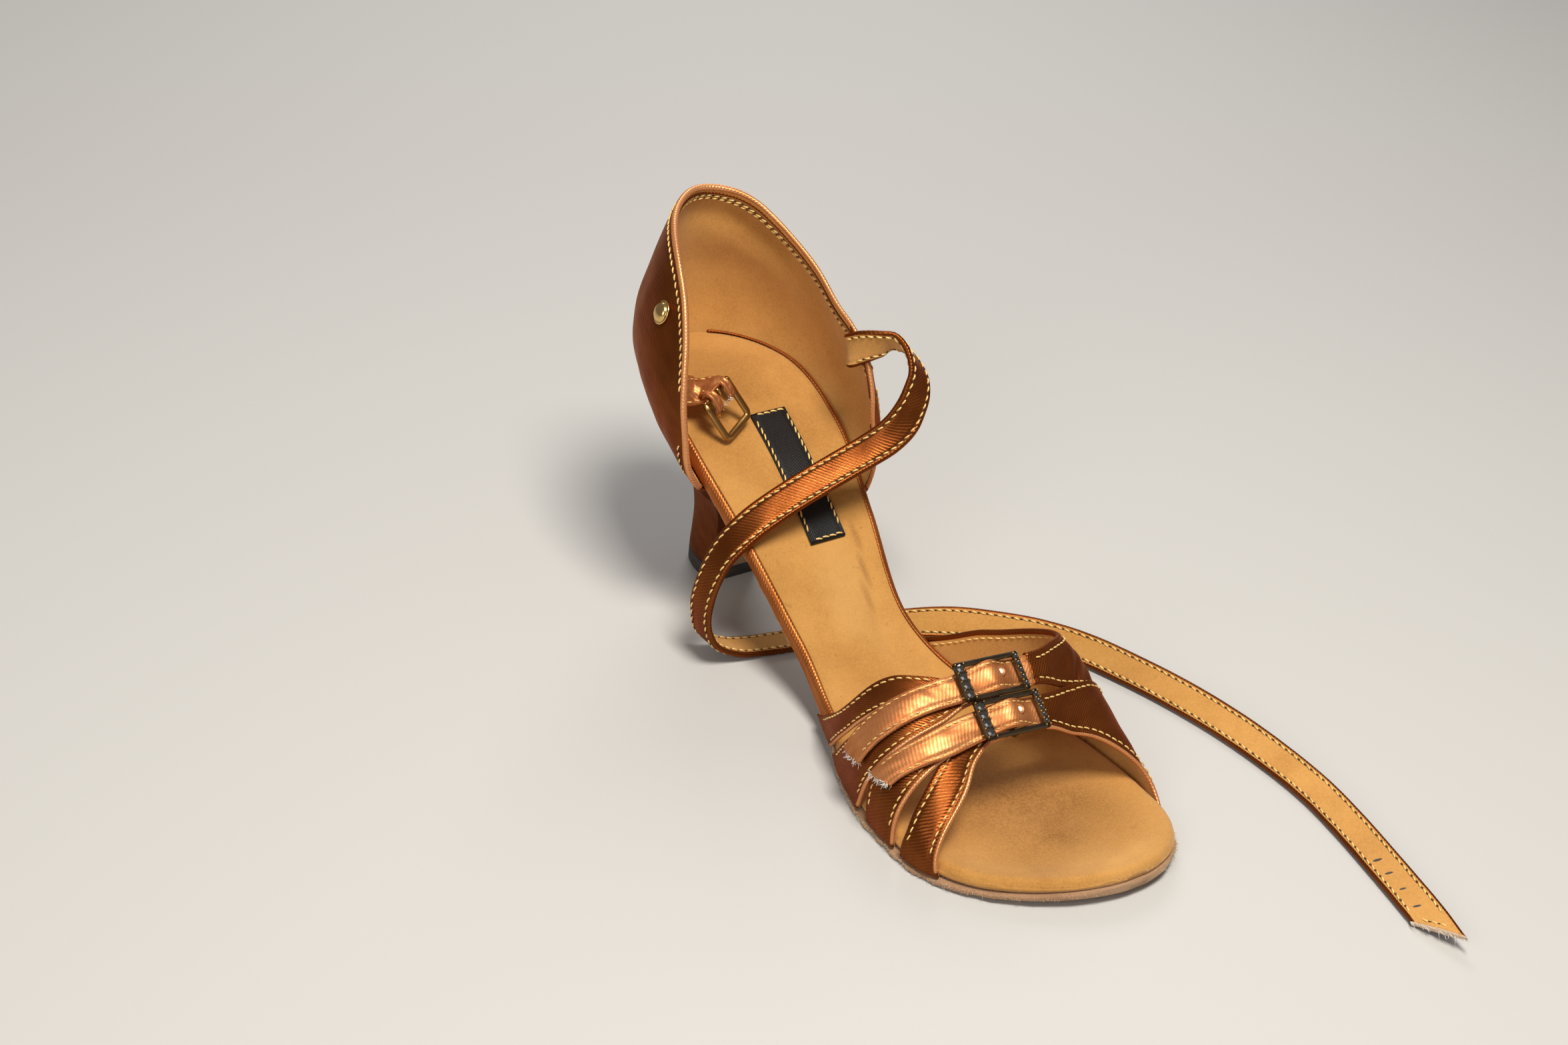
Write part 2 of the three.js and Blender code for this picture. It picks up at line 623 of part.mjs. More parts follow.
function vampInner() {
  const straps = INNER_STRAPS.map(({ buckle, layer, edges }) => {
    const { middle, run } = bucklePlace(buckle);
    return vampStrap({
      edges,
      steps: 38,
      across: 5,
      wall: TONGUE_WALL,
      lift: (arch, station) => {
        const seam = layer * (STRAP_LIFT + 0.2) * smoothstep(arch, 0.62, 0.7);
        const raised = TONGUE_LIFT * (1 - smoothstep(arch, 0.6, 0.72));
        const reach = Math.abs(archPoint(station, arch).sub(middle).dot(run)) / HUMP_REACH;
        const hump = (TONGUE_HUMP - TONGUE_LIFT) * (1 - smoothstep(reach, 0, 1));
        return seam + raised + hump;
      },
    });
  });
  return joined(straps);
}

// Bars and rings in a place given by three directions
function placed(geometry, { middle, run, across, normal }) {
  const matrix = new THREE.Matrix4().makeBasis(run, across, normal).setPosition(middle);
  return geometry.applyMatrix4(matrix);
}

const bar = (run, across, thick, x, y, z) => new THREE.BoxGeometry(run, across, thick).translate(x, y, z);
const pin = (radius, length, sides = 12) => new THREE.CylinderGeometry(radius, radius, length, sides);

function ring(inner, outer, width) {
  const shape = new THREE.Shape().absarc(0, 0, outer, 0, 2 * Math.PI);
  shape.holes.push(new THREE.Path().absarc(0, 0, inner, 0, 2 * Math.PI, true));
  const geometry = new THREE.ExtrudeGeometry(shape, { depth: width, bevelEnabled: false, curveSegments: 8 });
  return geometry.translate(0, 0, -width / 2).rotateX(Math.PI / 2);
}

function frame({ run, across, bar: thick, lift, from }) {
  const start = from + thick / 2;
  const end = from + run - thick / 2;
  const middle = from + run / 2;
  const side = (across - thick) / 2;
  return [
    bar(thick, across, thick, start, 0, lift),
    bar(thick, across, thick, end, 0, lift),
    bar(run, thick, thick, middle, side, lift),
    bar(run, thick, thick, middle, -side, lift),
  ];
}

// A vamp buckle: a frame, with a pin across its middle that is set lower on two short legs
function vampBuckle(station) {
  const { run, across, bar: thick, lift, pinRadius, pinLift } = VAMP_BUCKLE;
  const side = (across - thick) / 2;
  const legs = [-side, side].map((y) => bar(thick, thick, lift - pinLift, 0, y, (lift + pinLift) / 2));
  const feet = [-side, side].map((y) => bar(thick, thick, 2 * pinRadius, 0, y, pinLift));
  const bars = frame({ run, across, bar: thick, lift, from: -run / 2 });
  const cross = pin(pinRadius, across - thick).translate(0, 0, pinLift);
  return placed(joined([...bars, ...legs, ...feet, cross]), bucklePlace(station));
}

// The tab's loop round that pin
function pinLoop(station) {
  const { inner, outer, across } = PIN_LOOP;
  return placed(ring(inner, outer, across).translate(0, 0, VAMP_BUCKLE.pinLift), bucklePlace(station));
}

// Flat strap along a route, with a smooth turn between the given directions
function ribbon(route, width, thick, count, tipSlant = 0) {
  const curve = new THREE.CatmullRomCurve3(route.map(({ x, y, z }) => point(x, y, z)), false, 'centripetal');
  const turns = new THREE.CatmullRomCurve3(route.map(({ across }) => point(...across)), false, 'centripetal');
  const spans = route.slice(1).map((row, i) => Math.hypot(row.x - route[i].x, row.y - route[i].y, row.z - route[i].z));
  const total = spans.reduce((sum, span) => sum + span, 0);
  const sections = [];
  for (let i = 0; i <= count; i += 1) {
    let left = (total * i) / count;
    let row = 0;
    while (row < spans.length - 1 && left > spans[row]) {
      left -= spans[row];
      row += 1;
    }
    const t = (row + Math.min(1, left / spans[row])) / spans.length;
    const middle = curve.getPoint(t);
    const forward = curve.getTangent(t);
    const across = turns.getPoint(t).addScaledVector(forward, -turns.getPoint(t).dot(forward)).normalize();
    const face = new THREE.Vector3().crossVectors(across, forward);
    const slant = i === count ? tipSlant / 2 : 0;
    const edge = (side, depth) => middle.clone().addScaledVector(across, (side * width) / 2)
      .addScaledVector(face, depth).addScaledVector(forward, side * slant);
    sections.push({
      a: [edge(-1, -thick / 2), edge(1, -thick / 2)],
      b: [edge(-1, thick / 2), edge(1, thick / 2)],
    });
  }
  return loft(sections);
}

// On the floor the strap's lower edge is given, and its width leans up from there
function floorRoute() {
  return FLOOR_RUN.map(({ x, y, tilt }, i) => {
    const before = FLOOR_RUN[Math.max(0, i - 1)];
    const after = FLOOR_RUN[Math.min(FLOOR_RUN.length - 1, i + 1)];
    const side = point(before.y - after.y, after.x - before.x, 0).normalize();
    const angle = THREE.MathUtils.degToRad(tilt);
    const across = side.multiplyScalar(Math.cos(angle)).setZ(Math.sin(angle));
    const base = ANKLE_STRAP.thick * 0.55 * Math.cos(angle) + 0.15;
    const middle = point(x, y, base).addScaledVector(across, ANKLE_STRAP.width / 2);
    return { x: middle.x, y: middle.y, z: middle.z, across: across.toArray() };
  });
}

// Its root lies against the inside of the counter's inner wing
function rootRoute() {
  const { rows, hollow } = ANKLE_ROOT;
  const depth = -GAP - hollow - ANKLE_STRAP.thick / 2;
  return rows.map(({ arc, share }) => {
    const { x, y, z } = cupPoint(arc, share, depth);
    const across = cupPoint(arc, share + 0.05, depth).sub(cupPoint(arc, share - 0.05, depth)).normalize();
    return { x, y, z, across: across.toArray() };
  });
}

function ankleStrap() {
  const { width, thick, tipSlant } = ANKLE_STRAP;
  return ribbon([...rootRoute(), ...ANKLE_ROUTE, ...floorRoute()], width, thick, 92, tipSlant);
}

// The ankle buckle's place: run is the way it hangs, across is along its bar
function anklePlace(hang = ANKLE_BAR.hang) {
  const across = ANKLE_BAR.along.clone().normalize();
  const run = hang.clone().addScaledVector(across, -hang.dot(across)).normalize();
  const normal = new THREE.Vector3().crossVectors(run, across);
  return { middle: ANKLE_BAR.middle.clone(), run, across, normal };
}

function buckleStrap() {
  const place = anklePlace();
  const { inner, outer, notch } = ANKLE_LOOP;
  const { width, thick } = BUCKLE_STRAP;
  const eye = ring(inner, outer, width);
  const neck = bar(4, width, thick, -inner - 2.2, 0, 0);
  const strap = solid(ribbon(BUCKLE_ROUTE, width, thick, 20)).add(solid(placed(neck, place)));
  const bore = pin(inner, width + 4, 16);
  const opening = bar(2 * outer + 2, notch, 2 * outer + 4, 0.4, 0, 0);
  const body = strap.subtract(solid(placed(bore, place))).add(solid(placed(eye, place)));
  return geometryOf(body.subtract(solid(placed(opening, place))));
}

function ankleBuckle() {
  const { run, across, bar: thick, pinRadius } = ANKLE_BUCKLE;
  const bars = frame({ run, across, bar: thick, lift: 0, from: -thick / 2 }).slice(1);
  return placed(joined([...bars, pin(pinRadius, across - thick)]), anklePlace());
}

// The prong hangs straight down from the same bar
function ankleProng() {
  const { inner, outer, across, length, radius } = PRONG;
  const rod = pin(radius, length - inner - 0.3).rotateZ(Math.PI / 2).translate((length + inner + 0.3) / 2, 0, 0);
  return placed(joined([ring(inner, outer, across), rod]), anklePlace(point(0, 0, -1)));
}

// Small pieces on the sock and the counter
function sockLabel() {
  const { length, width, thick, station, x, turn } = LABEL;
  const count = 8;
  const sections = [];
  for (let i = 0; i <= count; i += 1) {
    const way = lerp(-length / 2, length / 2, i / count);
    const slope = 1 / slopeFactor(station + way * 0.75);
    const here = station + way * slope;
    const middle = x - way * turn;
    const row = (lift) => [-width / 2, 0, width / 2].map((side) =>
      point(middle + side, along(here), below(here, -GAP - lift)));
    sections.push({ a: row(0), b: row(thick) });
  }
  return loft(sections);
}

function counterStud() {
  const { radius, dome, arc, rise } = STUD;
  const seat = cupPoint(arc, rise, COUNTER_WALL + GAP);
  const normal = seat.clone().sub(cupPoint(arc, rise, 0)).normalize();
  const profile = [[0, 0], [radius, 0], [radius, 0.4], [radius * 0.72, dome * 0.75], [radius * 0.35, dome], [0, dome + 0.1]];
  const geometry = new THREE.LatheGeometry(profile.map(([x, y]) => new THREE.Vector2(x, y)), 20);
  const turn = new THREE.Quaternion().setFromUnitVectors(point(0, 1, 0), normal);
  return geometryOf(solid(geometry.applyQuaternion(turn).translate(seat.x, seat.y, seat.z)));
}

add('outsole', outsole(), 'sole');
add('insole', insole(), 'suede');
add('sock_label', sockLabel(), 'label');
add('heel', heel(), 'satin');
add('heel_tip', heelTip(), 'rubber');
add('counter', counter(), 'satin');
add('vamp_medial', vampInner(), 'satin');
add('vamp_lateral', vampOuter(), 'satin');
add('vamp_buckle_rear', vampBuckle(INNER_STRAPS[0].buckle), 'metal');
add('vamp_buckle_front', vampBuckle(INNER_STRAPS[1].buckle), 'metal');
add('ankle_strap', ankleStrap(), 'satin');
add('buckle_strap', buckleStrap(), 'satin');
add('ankle_buckle', ankleBuckle(), 'gold');
add('ankle_prong', ankleProng(), 'gold');
add('counter_stud', counterStud(), 'gold');

export default shoe;
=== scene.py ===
"""Looks of a ladies' latin dance sandal for the right foot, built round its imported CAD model.

Sizes and places are in millimetres in the part's own frame: +Z up, the toe towards -Y, the inner side
of the foot towards +X, and the origin on the floor under the ball of the foot.
"""

import math

import bpy
import numpy as np
from mathutils import Matrix, Vector


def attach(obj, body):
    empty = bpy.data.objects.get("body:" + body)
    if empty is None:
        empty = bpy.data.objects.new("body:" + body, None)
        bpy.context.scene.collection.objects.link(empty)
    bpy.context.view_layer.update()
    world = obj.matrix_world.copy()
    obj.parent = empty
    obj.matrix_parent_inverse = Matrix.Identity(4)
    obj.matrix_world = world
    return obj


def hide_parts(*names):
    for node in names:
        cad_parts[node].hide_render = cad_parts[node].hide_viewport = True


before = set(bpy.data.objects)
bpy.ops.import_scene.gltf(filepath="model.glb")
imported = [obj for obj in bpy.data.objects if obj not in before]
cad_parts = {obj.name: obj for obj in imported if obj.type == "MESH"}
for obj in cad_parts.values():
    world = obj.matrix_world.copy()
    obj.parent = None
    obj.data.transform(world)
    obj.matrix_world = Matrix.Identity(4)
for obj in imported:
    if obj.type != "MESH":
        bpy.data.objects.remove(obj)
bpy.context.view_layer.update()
MM = 0.001
random = np.random.default_rng(7)

# Camera, fitted to the photograph
IMAGE = (2352, 1568)
AZIMUTH, ELEVATION, ROLL = -41.187, 32.764, -7.835
TARGET = (0.0, 48.0, 25.0)
TARGET_PIXEL = (1334.4, 960.0)
DISTANCE = 791.6
FOCAL_PIXELS = 4001.3
SENSOR = 36.0

# The last and the sole, as in the CAD model
LENGTH = 223.5
TREAD_STATION = 168.0
GAP = 0.3
HEEL_ROUND, TOE_ROUND, TOE_DRIFT = 42.0, 41.0, 9.0
INSOLE_THICK, EDGE_ROUND = 3.6, 1.1
OUTSOLE_THICK, OUTSOLE_START = 2.5, 56.7
UPPER_CLEAR = 0.6
FLAP_THICK, FLAP_ROOT, FLAP_INSET = 1.4, 1.9, 3.4
HEEL_TIP_THICK = 5.0
END_CLEAR = 0.15

# The upper
COUNTER_WALL = 1.9
STRAP_WALL, TONGUE_WALL = 1.4, 1.2
STRAP_LIFT, TONGUE_LIFT, TONGUE_HUMP, HUMP_REACH = 0.4, 3.1, 6.5, 8.0
ANKLE_WIDTH, ANKLE_THICK, ANKLE_SLANT = 10.5, 1.8, 13.0
ROOT_DEPTHS, FLOOR_CLEAR = (0.95, 0.9, -0.6), 0.4
SHORT_WIDTH, SHORT_SLOT, SHORT_WALL, SHORT_SEAM = 9.4, 3.4, 1.0, 0.74

# Metal and label
VAMP_RUN, VAMP_ACROSS, VAMP_BAR, VAMP_LIFT, PIN_LIFT = 22.0, 11.8, 1.6, 6.1, 3.6
VAMP_ARCH, VAMP_TURN = 0.475, 0.1
ANKLE_RUN, ANKLE_ACROSS, ANKLE_BAR_THICK = 15.5, 13.6, 1.6
ANKLE_CORNER, FRAME_RADIUS, FRAME_FLAT, BAR_RADIUS = 1.6, ANKLE_BAR_THICK * 0.74, 0.75, 0.7
KNUCKLE = [(0, -0.9), (0.85, -0.9), (1.0, -0.6), (1.0, 0.6), (0.85, 0.9), (0, 0.9)]
PRONG_LENGTH, PRONG_RADIUS = 11.2, 0.7
PRONG_LOOP, PRONG_WIRE, PRONG_START, PRONG_BEND = 1.4, 0.5, 1.2, 0.25
STUD_RADIUS, STUD_DOME, STUD_ARC, STUD_SHARE = 3.8, 1.6, -46.0, 0.78
LABEL_LENGTH, LABEL_WIDTH, LABEL_THICK, LABEL_STATION = 46.0, 13.0, 0.7, 62.4
LABEL_X, LABEL_TURN, LABEL_SEAM = 5.1, 0.033, 0.8

# Sewing
STITCH_PITCH = 2.5
# Kinds of stitches: pitch, length, radius of the thread and slant
EDGE_STITCH = (STITCH_PITCH, 1.9, 0.27, 0.12)
LABEL_STITCH = (2.5, 2.3, 0.3, 0.3)
COUNTER_STITCH = (2.4, 1.9, 0.28, 0.35)
TONGUE_STITCH = (2.4, 1.6, 0.2, 0.12)
STRAP_STITCH = (2.7, 2.0, 0.3, 0.2)
SHORT_STITCH = (2.4, 1.7, 0.22, 0.12)
# Shape of a stitch: place along it, thickness and lift, as shares
STITCH_SHAPE = np.array(
    [(-1.0, 0.25, -0.35), (-0.7, 0.85, 0.1), (0.0, 1.0, 0.5), (0.7, 0.85, 0.1), (1.0, 0.25, -0.35)]
)
STITCH_JITTER = 0.08
# Painted shade of a needle hole: radii along the mark, and how flat it is
HOLE_RADII, HOLE_FLAT = (0.14, 0.3, 0.14), 0.4
# Threads of a frayed end and fibres of a cut edge: first and last radius, and height kept over the floor
FRAY_RADII, FRAY_CLEAR = (0.09, 0.04), 0.15
FUZZ_COUNT, FUZZ_RADII, FUZZ_CLEAR = 900, (0.07, 0.03), 0.1
# How far off its face a seam runs
ON_FACE = 0.02
SEAM_INSET = 1.8
PIPING_RADIUS, INNER_PIPING = 1.05, 0.75
TURNED_RADIUS, TURNED_DOWN = 0.42, 1.5
# Rows of the cup's seams: way down from the topline, depth in the wall, rise on the inner wing, side
COUNTER_SEAMS = ((2.1, COUNTER_WALL + 0.05, 0.0, 1), (2.5, -ON_FACE, 0.35, -1), (3.5, -ON_FACE, 0.4, -1))


def table(names, *rows):
    """Columns of numbers by name."""
    return dict(zip(names.split(), np.array(rows, float).T))


LAST = table(
    "at middle half top",
    (0.00, 2.0, 27.0, 70.7),
    (0.10, 1.7, 27.0, 68.4),
    (0.22, 1.3, 27.0, 57.7),
    (0.34, 0.3, 23.4, 40.1),
    (0.46, -0.7, 20.0, 20.0),
    (0.56, 0.3, 24.4, 9.4),
    (0.65, 1.0, 32.7, 6.4),
    (0.74, 1.2, 38.6, 6.4),
    (0.83, 1.0, 39.6, 6.4),
    (0.86, 1.0, 39.6, 6.5),
    (1.01, 1.0, 39.6, 9.2),
)
INSOLE_EDGE = table("at grow", (0.0, 0.0), (0.86, 0.0), (0.93, 1.1), (1.02, 1.1))
OUTSOLE_EDGE = table("at grow", (0.24, -1.5), (0.46, -1.5), (0.58, 0.6), (0.68, 2.0), (1.02, 2.0))
TOPLINE = table(
    "arc rise out belly",
    (-68, 7, 6.5, 8),
    (-66, 18, 6.8, 8),
    (-63, 26, 5.4, 8),
    (-57, 34, 1.9, 8),
    (-49, 41.5, -1.1, 8),
    (-40, 46.5, -2.2, 7.5),
    (-26, 50, -3.5, 6.2),
    (-12, 51.5, -4.5, 5),
    (0, 51, -3.5, 4.2),
    (12, 50, -4, 4.2),
    (20, 48, -4, 4.2),
    (27, 44.8, -4, 4.2),
    (36, 40.8, -4, 4.2),
    (47, 37.6, -3.5, 4.2),
    (57, 36, -3.5, 4.2),
    (68, 36.5, -2.5, 4.2),
    (75, 35, -1.5, 4.2),
    (79, 29, -0.5, 4.2),
    (80.5, 20, 0, 4.2),
)
VAMP = table(
    "station ridge outer inner flare",
    (112, 56, 2.4, 3.0, 3),
    (130, 51, 2.5, 3.4, 4),
    (150, 43.5, 2.6, 3.8, 5),
    (160, 38.0, 2.6, 3.8, 4.5),
    (170, 31.2, 2.6, 3.4, 4),
    (180, 24.4, 2.6, 3.0, 3.5),
    (190, 18.0, 2.6, 2.8, 3),
    (206, 11.5, 2.6, 2.6, 1.5),
)
STRAP_COLUMNS = "arch rear front"
FAN = [
    table(
        STRAP_COLUMNS,
        (0, 121, 133),
        (0.1, 130.5, 142),
        (0.2, 142, 152),
        (0.3, 150, 160.5),
        (0.34, 155, 163.5),
        (0.38, 159, 165.6),
    ),
    table(
        STRAP_COLUMNS,
        (0, 136, 160),
        (0.1, 144.5, 163.5),
        (0.2, 153, 166.5),
        (0.3, 157, 168),
        (0.38, 158.8, 167),
        (0.49, 160, 166.8),
    ),
    table(
        STRAP_COLUMNS,
        (0, 165, 179),
        (0.1, 163.5, 177.2),
        (0.2, 166, 176),
        (0.26, 168.4, 175.6),
        (0.3, 170, 175.4),
        (0.37, 170.4, 175),
    ),
    table(
        STRAP_COLUMNS,
        (0, 182.3, 195.6),
        (0.05, 182.3, 193),
        (0.1, 180.8, 190.2),
        (0.2, 176.6, 185),
        (0.3, 172.2, 179.4),
        (0.38, 170.4, 177.2),
        (0.49, 170, 176.8),
    ),
]
INNER_BUCKLES = (163.4, 173.4)
INNER_STRAPS = [
    table(
        STRAP_COLUMNS,
        (1, 109, 166),
        (0.93, 113.5, 168),
        (0.86, 119.5, 169.5),
        (0.8, 127.5, 170),
        (0.775, 137, 170),
        (0.755, 147, 170),
        (0.735, 154, 169.9),
        (0.7, 158, 169.4),
        (0.62, 161.2, 167.6),
        (0.5, 160.4, 166.8),
        (0.39, 159.8, 166),
        (0.26, 156.4, 163.4),
        (0.12, 151, 159),
    ),
    table(
        STRAP_COLUMNS,
        (1, 163, 200.5),
        (0.965, 164, 195.5),
        (0.93, 165, 191.5),
        (0.86, 166.5, 186.6),
        (0.78, 168.2, 183),
        (0.7, 170.4, 180.6),
        (0.62, 171.2, 178.4),
        (0.5, 170.4, 176.6),
        (0.39, 169.8, 175.8),
        (0.26, 169, 176),
        (0.12, 165, 171.5),
    ),
]
HEEL = table(
    "down back breast width",
    (0.00, -2.2, 56.0, 1.00),
    (0.12, 0.6, 52.0, 0.84),
    (0.30, 7.4, 46.6, 0.57),
    (0.55, 14.6, 41.2, 0.36),
    (0.80, 17.2, 38.4, 0.29),
    (1.00, 16.6, 37.8, 0.30),
)

# Ankle strap: middle line and the direction from its lower to its upper edge
ANKLE_ROOT = ((56, 0.84), (63, 0.87), (69, 0.91))
ANKLE_ROUTE = [
    ((22.6, 110.0, 87.2), (-0.1, 0.1, 0.99)),
    ((23.8, 105.2, 90.6), (-0.1, 0.05, 0.99)),
    ((27.4, 101.6, 92.4), (-0.22, -0.2, 0.95)),
    ((31.0, 100.0, 93.0), (-0.4, -0.46, 0.79)),
    ((33.6, 96.7, 91.4), (-0.62, -0.48, 0.62)),
    ((34.4, 92.9, 88.3), (-0.77, -0.33, 0.55)),
    ((33.9, 89.9, 85.1), (-0.84, -0.11, 0.53)),
    ((32.3, 88.1, 81.2), (-0.85, 0.13, 0.51)),
    ((30.2, 87.2, 76.8), (-0.81, 0.32, 0.49)),
    ((27.0, 86.6, 72.4), (-0.61, 0.63, 0.47)),
    ((23.0, 87.6, 68.0), (-0.43, 0.77, 0.47)),
    ((16.8, 89.4, 63.7), (-0.27, 0.86, 0.43)),
    ((8.0, 90.8, 59.6), (-0.2, 0.88, 0.45)),
    ((-7.0, 92.0, 53.4), (-0.1, 0.86, 0.5)),
    ((-21.0, 93.0, 46.2), (0, 0.85, 0.5)),
    ((-30.0, 93.5, 38.5), (0.05, 0.94, 0.3)),
    ((-35.0, 93.8, 28.0), (0, 1, 0)),
    ((-36.0, 94.2, 17.0), (0, 1, 0)),
    ((-32.5, 94.2, 8.0), (0, 1, 0)),
    ((-24.0, 93.0, 3.0), (0.05, 1, 0)),
    ((-8.0, 90.0, 1.6), (0.15, 1, 0)),
    ((12.0, 86.5, 1.75), (0.25, 1, 0.05)),
    ((28.0, 81.0, 2.8), (0.3, 0.9, 0.35)),
]
FLOOR_RUN = table(
    "x y tilt",
    (42.3, 67.8, 40),
    (53.8, 58.5, 44),
    (62.2, 50.0, 42),
    (69.4, 39.0, 38),
    (75.4, 21.5, 38),
    (79.5, 5.0, 38),
    (82.3, -13, 34),
    (83.3, -31, 28),
    (82.6, -48, 24),
    (80.0, -63, 22),
    (75.4, -82, 20),
    (69.4, -104, 20),
    (67.0, -111, 20),
)
SHORT_ROUTE = [
    ((-33.4, 128.4, 75.6), (-0.2, -0.1, -0.97)),
    ((-28.6, 128.8, 75.2), (-0.2, -0.1, -0.97)),
    ((-23.0, 130.0, 73.8), (-0.25, -0.35, -0.9)),
    ((-18.9, 129.2, 73.7), (-0.55, -0.62, -0.55)),
]
BAR_MIDDLE = np.array((-15.1, 125.5, 73.9))
BAR_HANG = np.array((0.474, -0.306, -0.825))
BAR_ALONG = np.array((-0.857, -0.375, -0.353))


# Small mathematics
def smoothstep(x, low, high):
    t = np.clip((np.asarray(x, float) - low) / (high - low), 0, 1)
    return t * t * (3 - 2 * t)


def unit(v):
    v = np.asarray(v, float)
    return v / np.maximum(np.linalg.norm(v, axis=-1, keepdims=True), 1e-12)


def stack(x, y, z):
    return np.stack(np.broadcast_arrays(x, y, z), axis=-1)


def floats(*values):
    """The values as arrays of one common shape."""
    return np.broadcast_arrays(*(np.asarray(value, float) for value in values))


def square_to(v, way):
    """The part of v that is square to a way."""
    return v - way * np.sum(v * way, axis=-1, keepdims=True)


def hump(x, middle, wide):
    """1 in the middle, falling off softly to both sides."""
    return np.exp(-(((x - middle) / wide) ** 2))


def curve(xs, ys):
    """Smooth monotone curve through points."""
    order = np.argsort(xs)
    xs, ys = xs[order], ys[order]
    steps = np.diff(ys) / np.diff(xs)
    before, after = steps[:-1], steps[1:]
    safe = np.where(before * after > 0, before * after, 1.0)
    inner = np.where(before * after > 0, 2 * safe / np.where(before + after == 0, 1.0, before + after), 0.0)
    slopes = np.concatenate([[steps[0]], inner, [steps[-1]]])

    def at(x):
        x = np.clip(np.asarray(x, float), xs[0], xs[-1])
        i = np.clip(np.searchsorted(xs, x) - 1, 0, len(steps) - 1)
        width = xs[i + 1] - xs[i]
        t = (x - xs[i]) / width
        rise = t * t * (3 - 2 * t)
        bend = slopes[i] * t * (1 - t) ** 2 + slopes[i + 1] * t * t * (t - 1)
        return ys[i] * (1 - rise) + ys[i + 1] * rise + width * bend

    return at


def curves(data):
    """Curves of a table's other columns over its first one."""
    first, *others = data.values()
    return [curve(first, column) for column in others]


def smooth_path(points):
    """Centripetal Catmull-Rom curve; t runs from 0 to 1 with equal steps between the points."""
    points = np.asarray(points, float)
    full = np.vstack([2 * points[0] - points[1], points, 2 * points[-1] - points[-2]])

    def at(t):
        place = np.clip(np.asarray(t, float), 0, 1) * (len(points) - 1)
        i = np.minimum(place.astype(int), len(points) - 2)
        w = (place - i)[..., None]
        p0, p1, p2, p3 = (full[i + k] for k in range(4))
        pairs = ((p0, p1), (p1, p2), (p2, p3))
        d0, d1, d2 = (np.sqrt(np.linalg.norm(b - a, axis=-1, keepdims=True)) for a, b in pairs)
        d1 = np.where(d1 < 1e-4, 1, d1)
        d0 = np.where(d0 < 1e-4, d1, d0)
        d2 = np.where(d2 < 1e-4, d1, d2)
        start = ((p1 - p0) / d0 - (p2 - p0) / (d0 + d1) + (p2 - p1) / d1) * d1
        end = ((p2 - p1) / d1 - (p3 - p1) / (d1 + d2) + (p3 - p2) / d2) * d1
        cubic = 2 * p1 - 2 * p2 + start + end
        square = -3 * p1 + 3 * p2 - 2 * start - end
        return p1 + w * (start + w * (square + w * cubic))

    return at


def ripple(u, v, scale, seed, count=7):
    """Smooth uneven relief between about -1 and 1, with waves about scale millimetres long."""
    waves = np.random.default_rng(seed)
    total = 0.0
    for _ in range(count):
        angle, phase = waves.uniform(0, 2 * math.pi, 2)
        step = 2 * math.pi / (scale * waves.uniform(0.7, 1.6))
        total = total + np.sin(step * (u * math.cos(angle) + v * math.sin(angle)) + phase)
    return total / math.sqrt(count)


def travelled(path):
    """Length along a row of points."""
    return np.concatenate([[0], np.cumsum(np.linalg.norm(np.diff(path, axis=0), axis=1))])


def resampled(ways, reach, rows):
    """Points of a row at some ways along it."""
    return np.stack([np.interp(ways, reach, rows[:, k]) for k in range(3)], axis=1)


# The last's own shape
middle_at, half_at, top_at = curves(LAST)
(insole_grow,), (outsole_grow,) = curves(INSOLE_EDGE), curves(OUTSOLE_EDGE)


def along(station):
    return TREAD_STATION - np.asarray(station, float)


def plan(station, grow=0.0):
    """Middle and half width of the sole's outline."""
    station = np.asarray(station, float)
    heel = np.clip((HEEL_ROUND - station) / (HEEL_ROUND + grow), 0, 1)
    toe = np.clip((station - LENGTH + TOE_ROUND) / (TOE_ROUND + grow), 0, 1)
    half = (half_at(station / LENGTH) + grow) * np.sqrt(1 - heel**2) * np.sqrt(1 - toe**2)
    return middle_at(station / LENGTH) + TOE_DRIFT * toe**2, half


def insole_top(station):
    return top_at(np.asarray(station, float) / LENGTH)


def below(station, depth):
    """Height of a point at some depth under the insole's top, square to it."""
    slope = (insole_top(station + 1) - insole_top(station - 1)) / 2
    return insole_top(station) - depth * np.sqrt(1 + slope**2)


def cosine_steps(first, last, count):
    return first + (last - first) * (1 - np.cos(np.linspace(0, math.pi, count))) / 2


def edge_walk(side):
    station = np.concatenate([np.arange(0, 4, 0.05), np.arange(4, 90, 0.5)])
    middle, half = plan(station)
    x = np.where(station == 0, middle_at(0), middle + side * half)
    return travelled(stack(x, along(station), 0.0)), station, x


WALKS = {-1: edge_walk(-1), 1: edge_walk(1)}


def edge_at(arc):
    """Station and x of the insole's edge, by the way from the heel's back; the outer side is negative."""
    arc = np.asarray(arc, float)
    found = []
    for column in (1, 2):
        outer = np.interp(-arc, WALKS[-1][0], WALKS[-1][column])
        inner = np.interp(arc, WALKS[1][0], WALKS[1][column])
        found.append(np.where(arc < 0, outer, inner))
    return found


rise_at, out_at, belly_at = curves(TOPLINE)
ARC_FIRST, ARC_LAST = TOPLINE["arc"][0], TOPLINE["arc"][-1]


def cup_height(arc):
    station, _ = edge_at(arc)
    return insole_top(station) + rise_at(arc) - below(station, INSOLE_THICK)


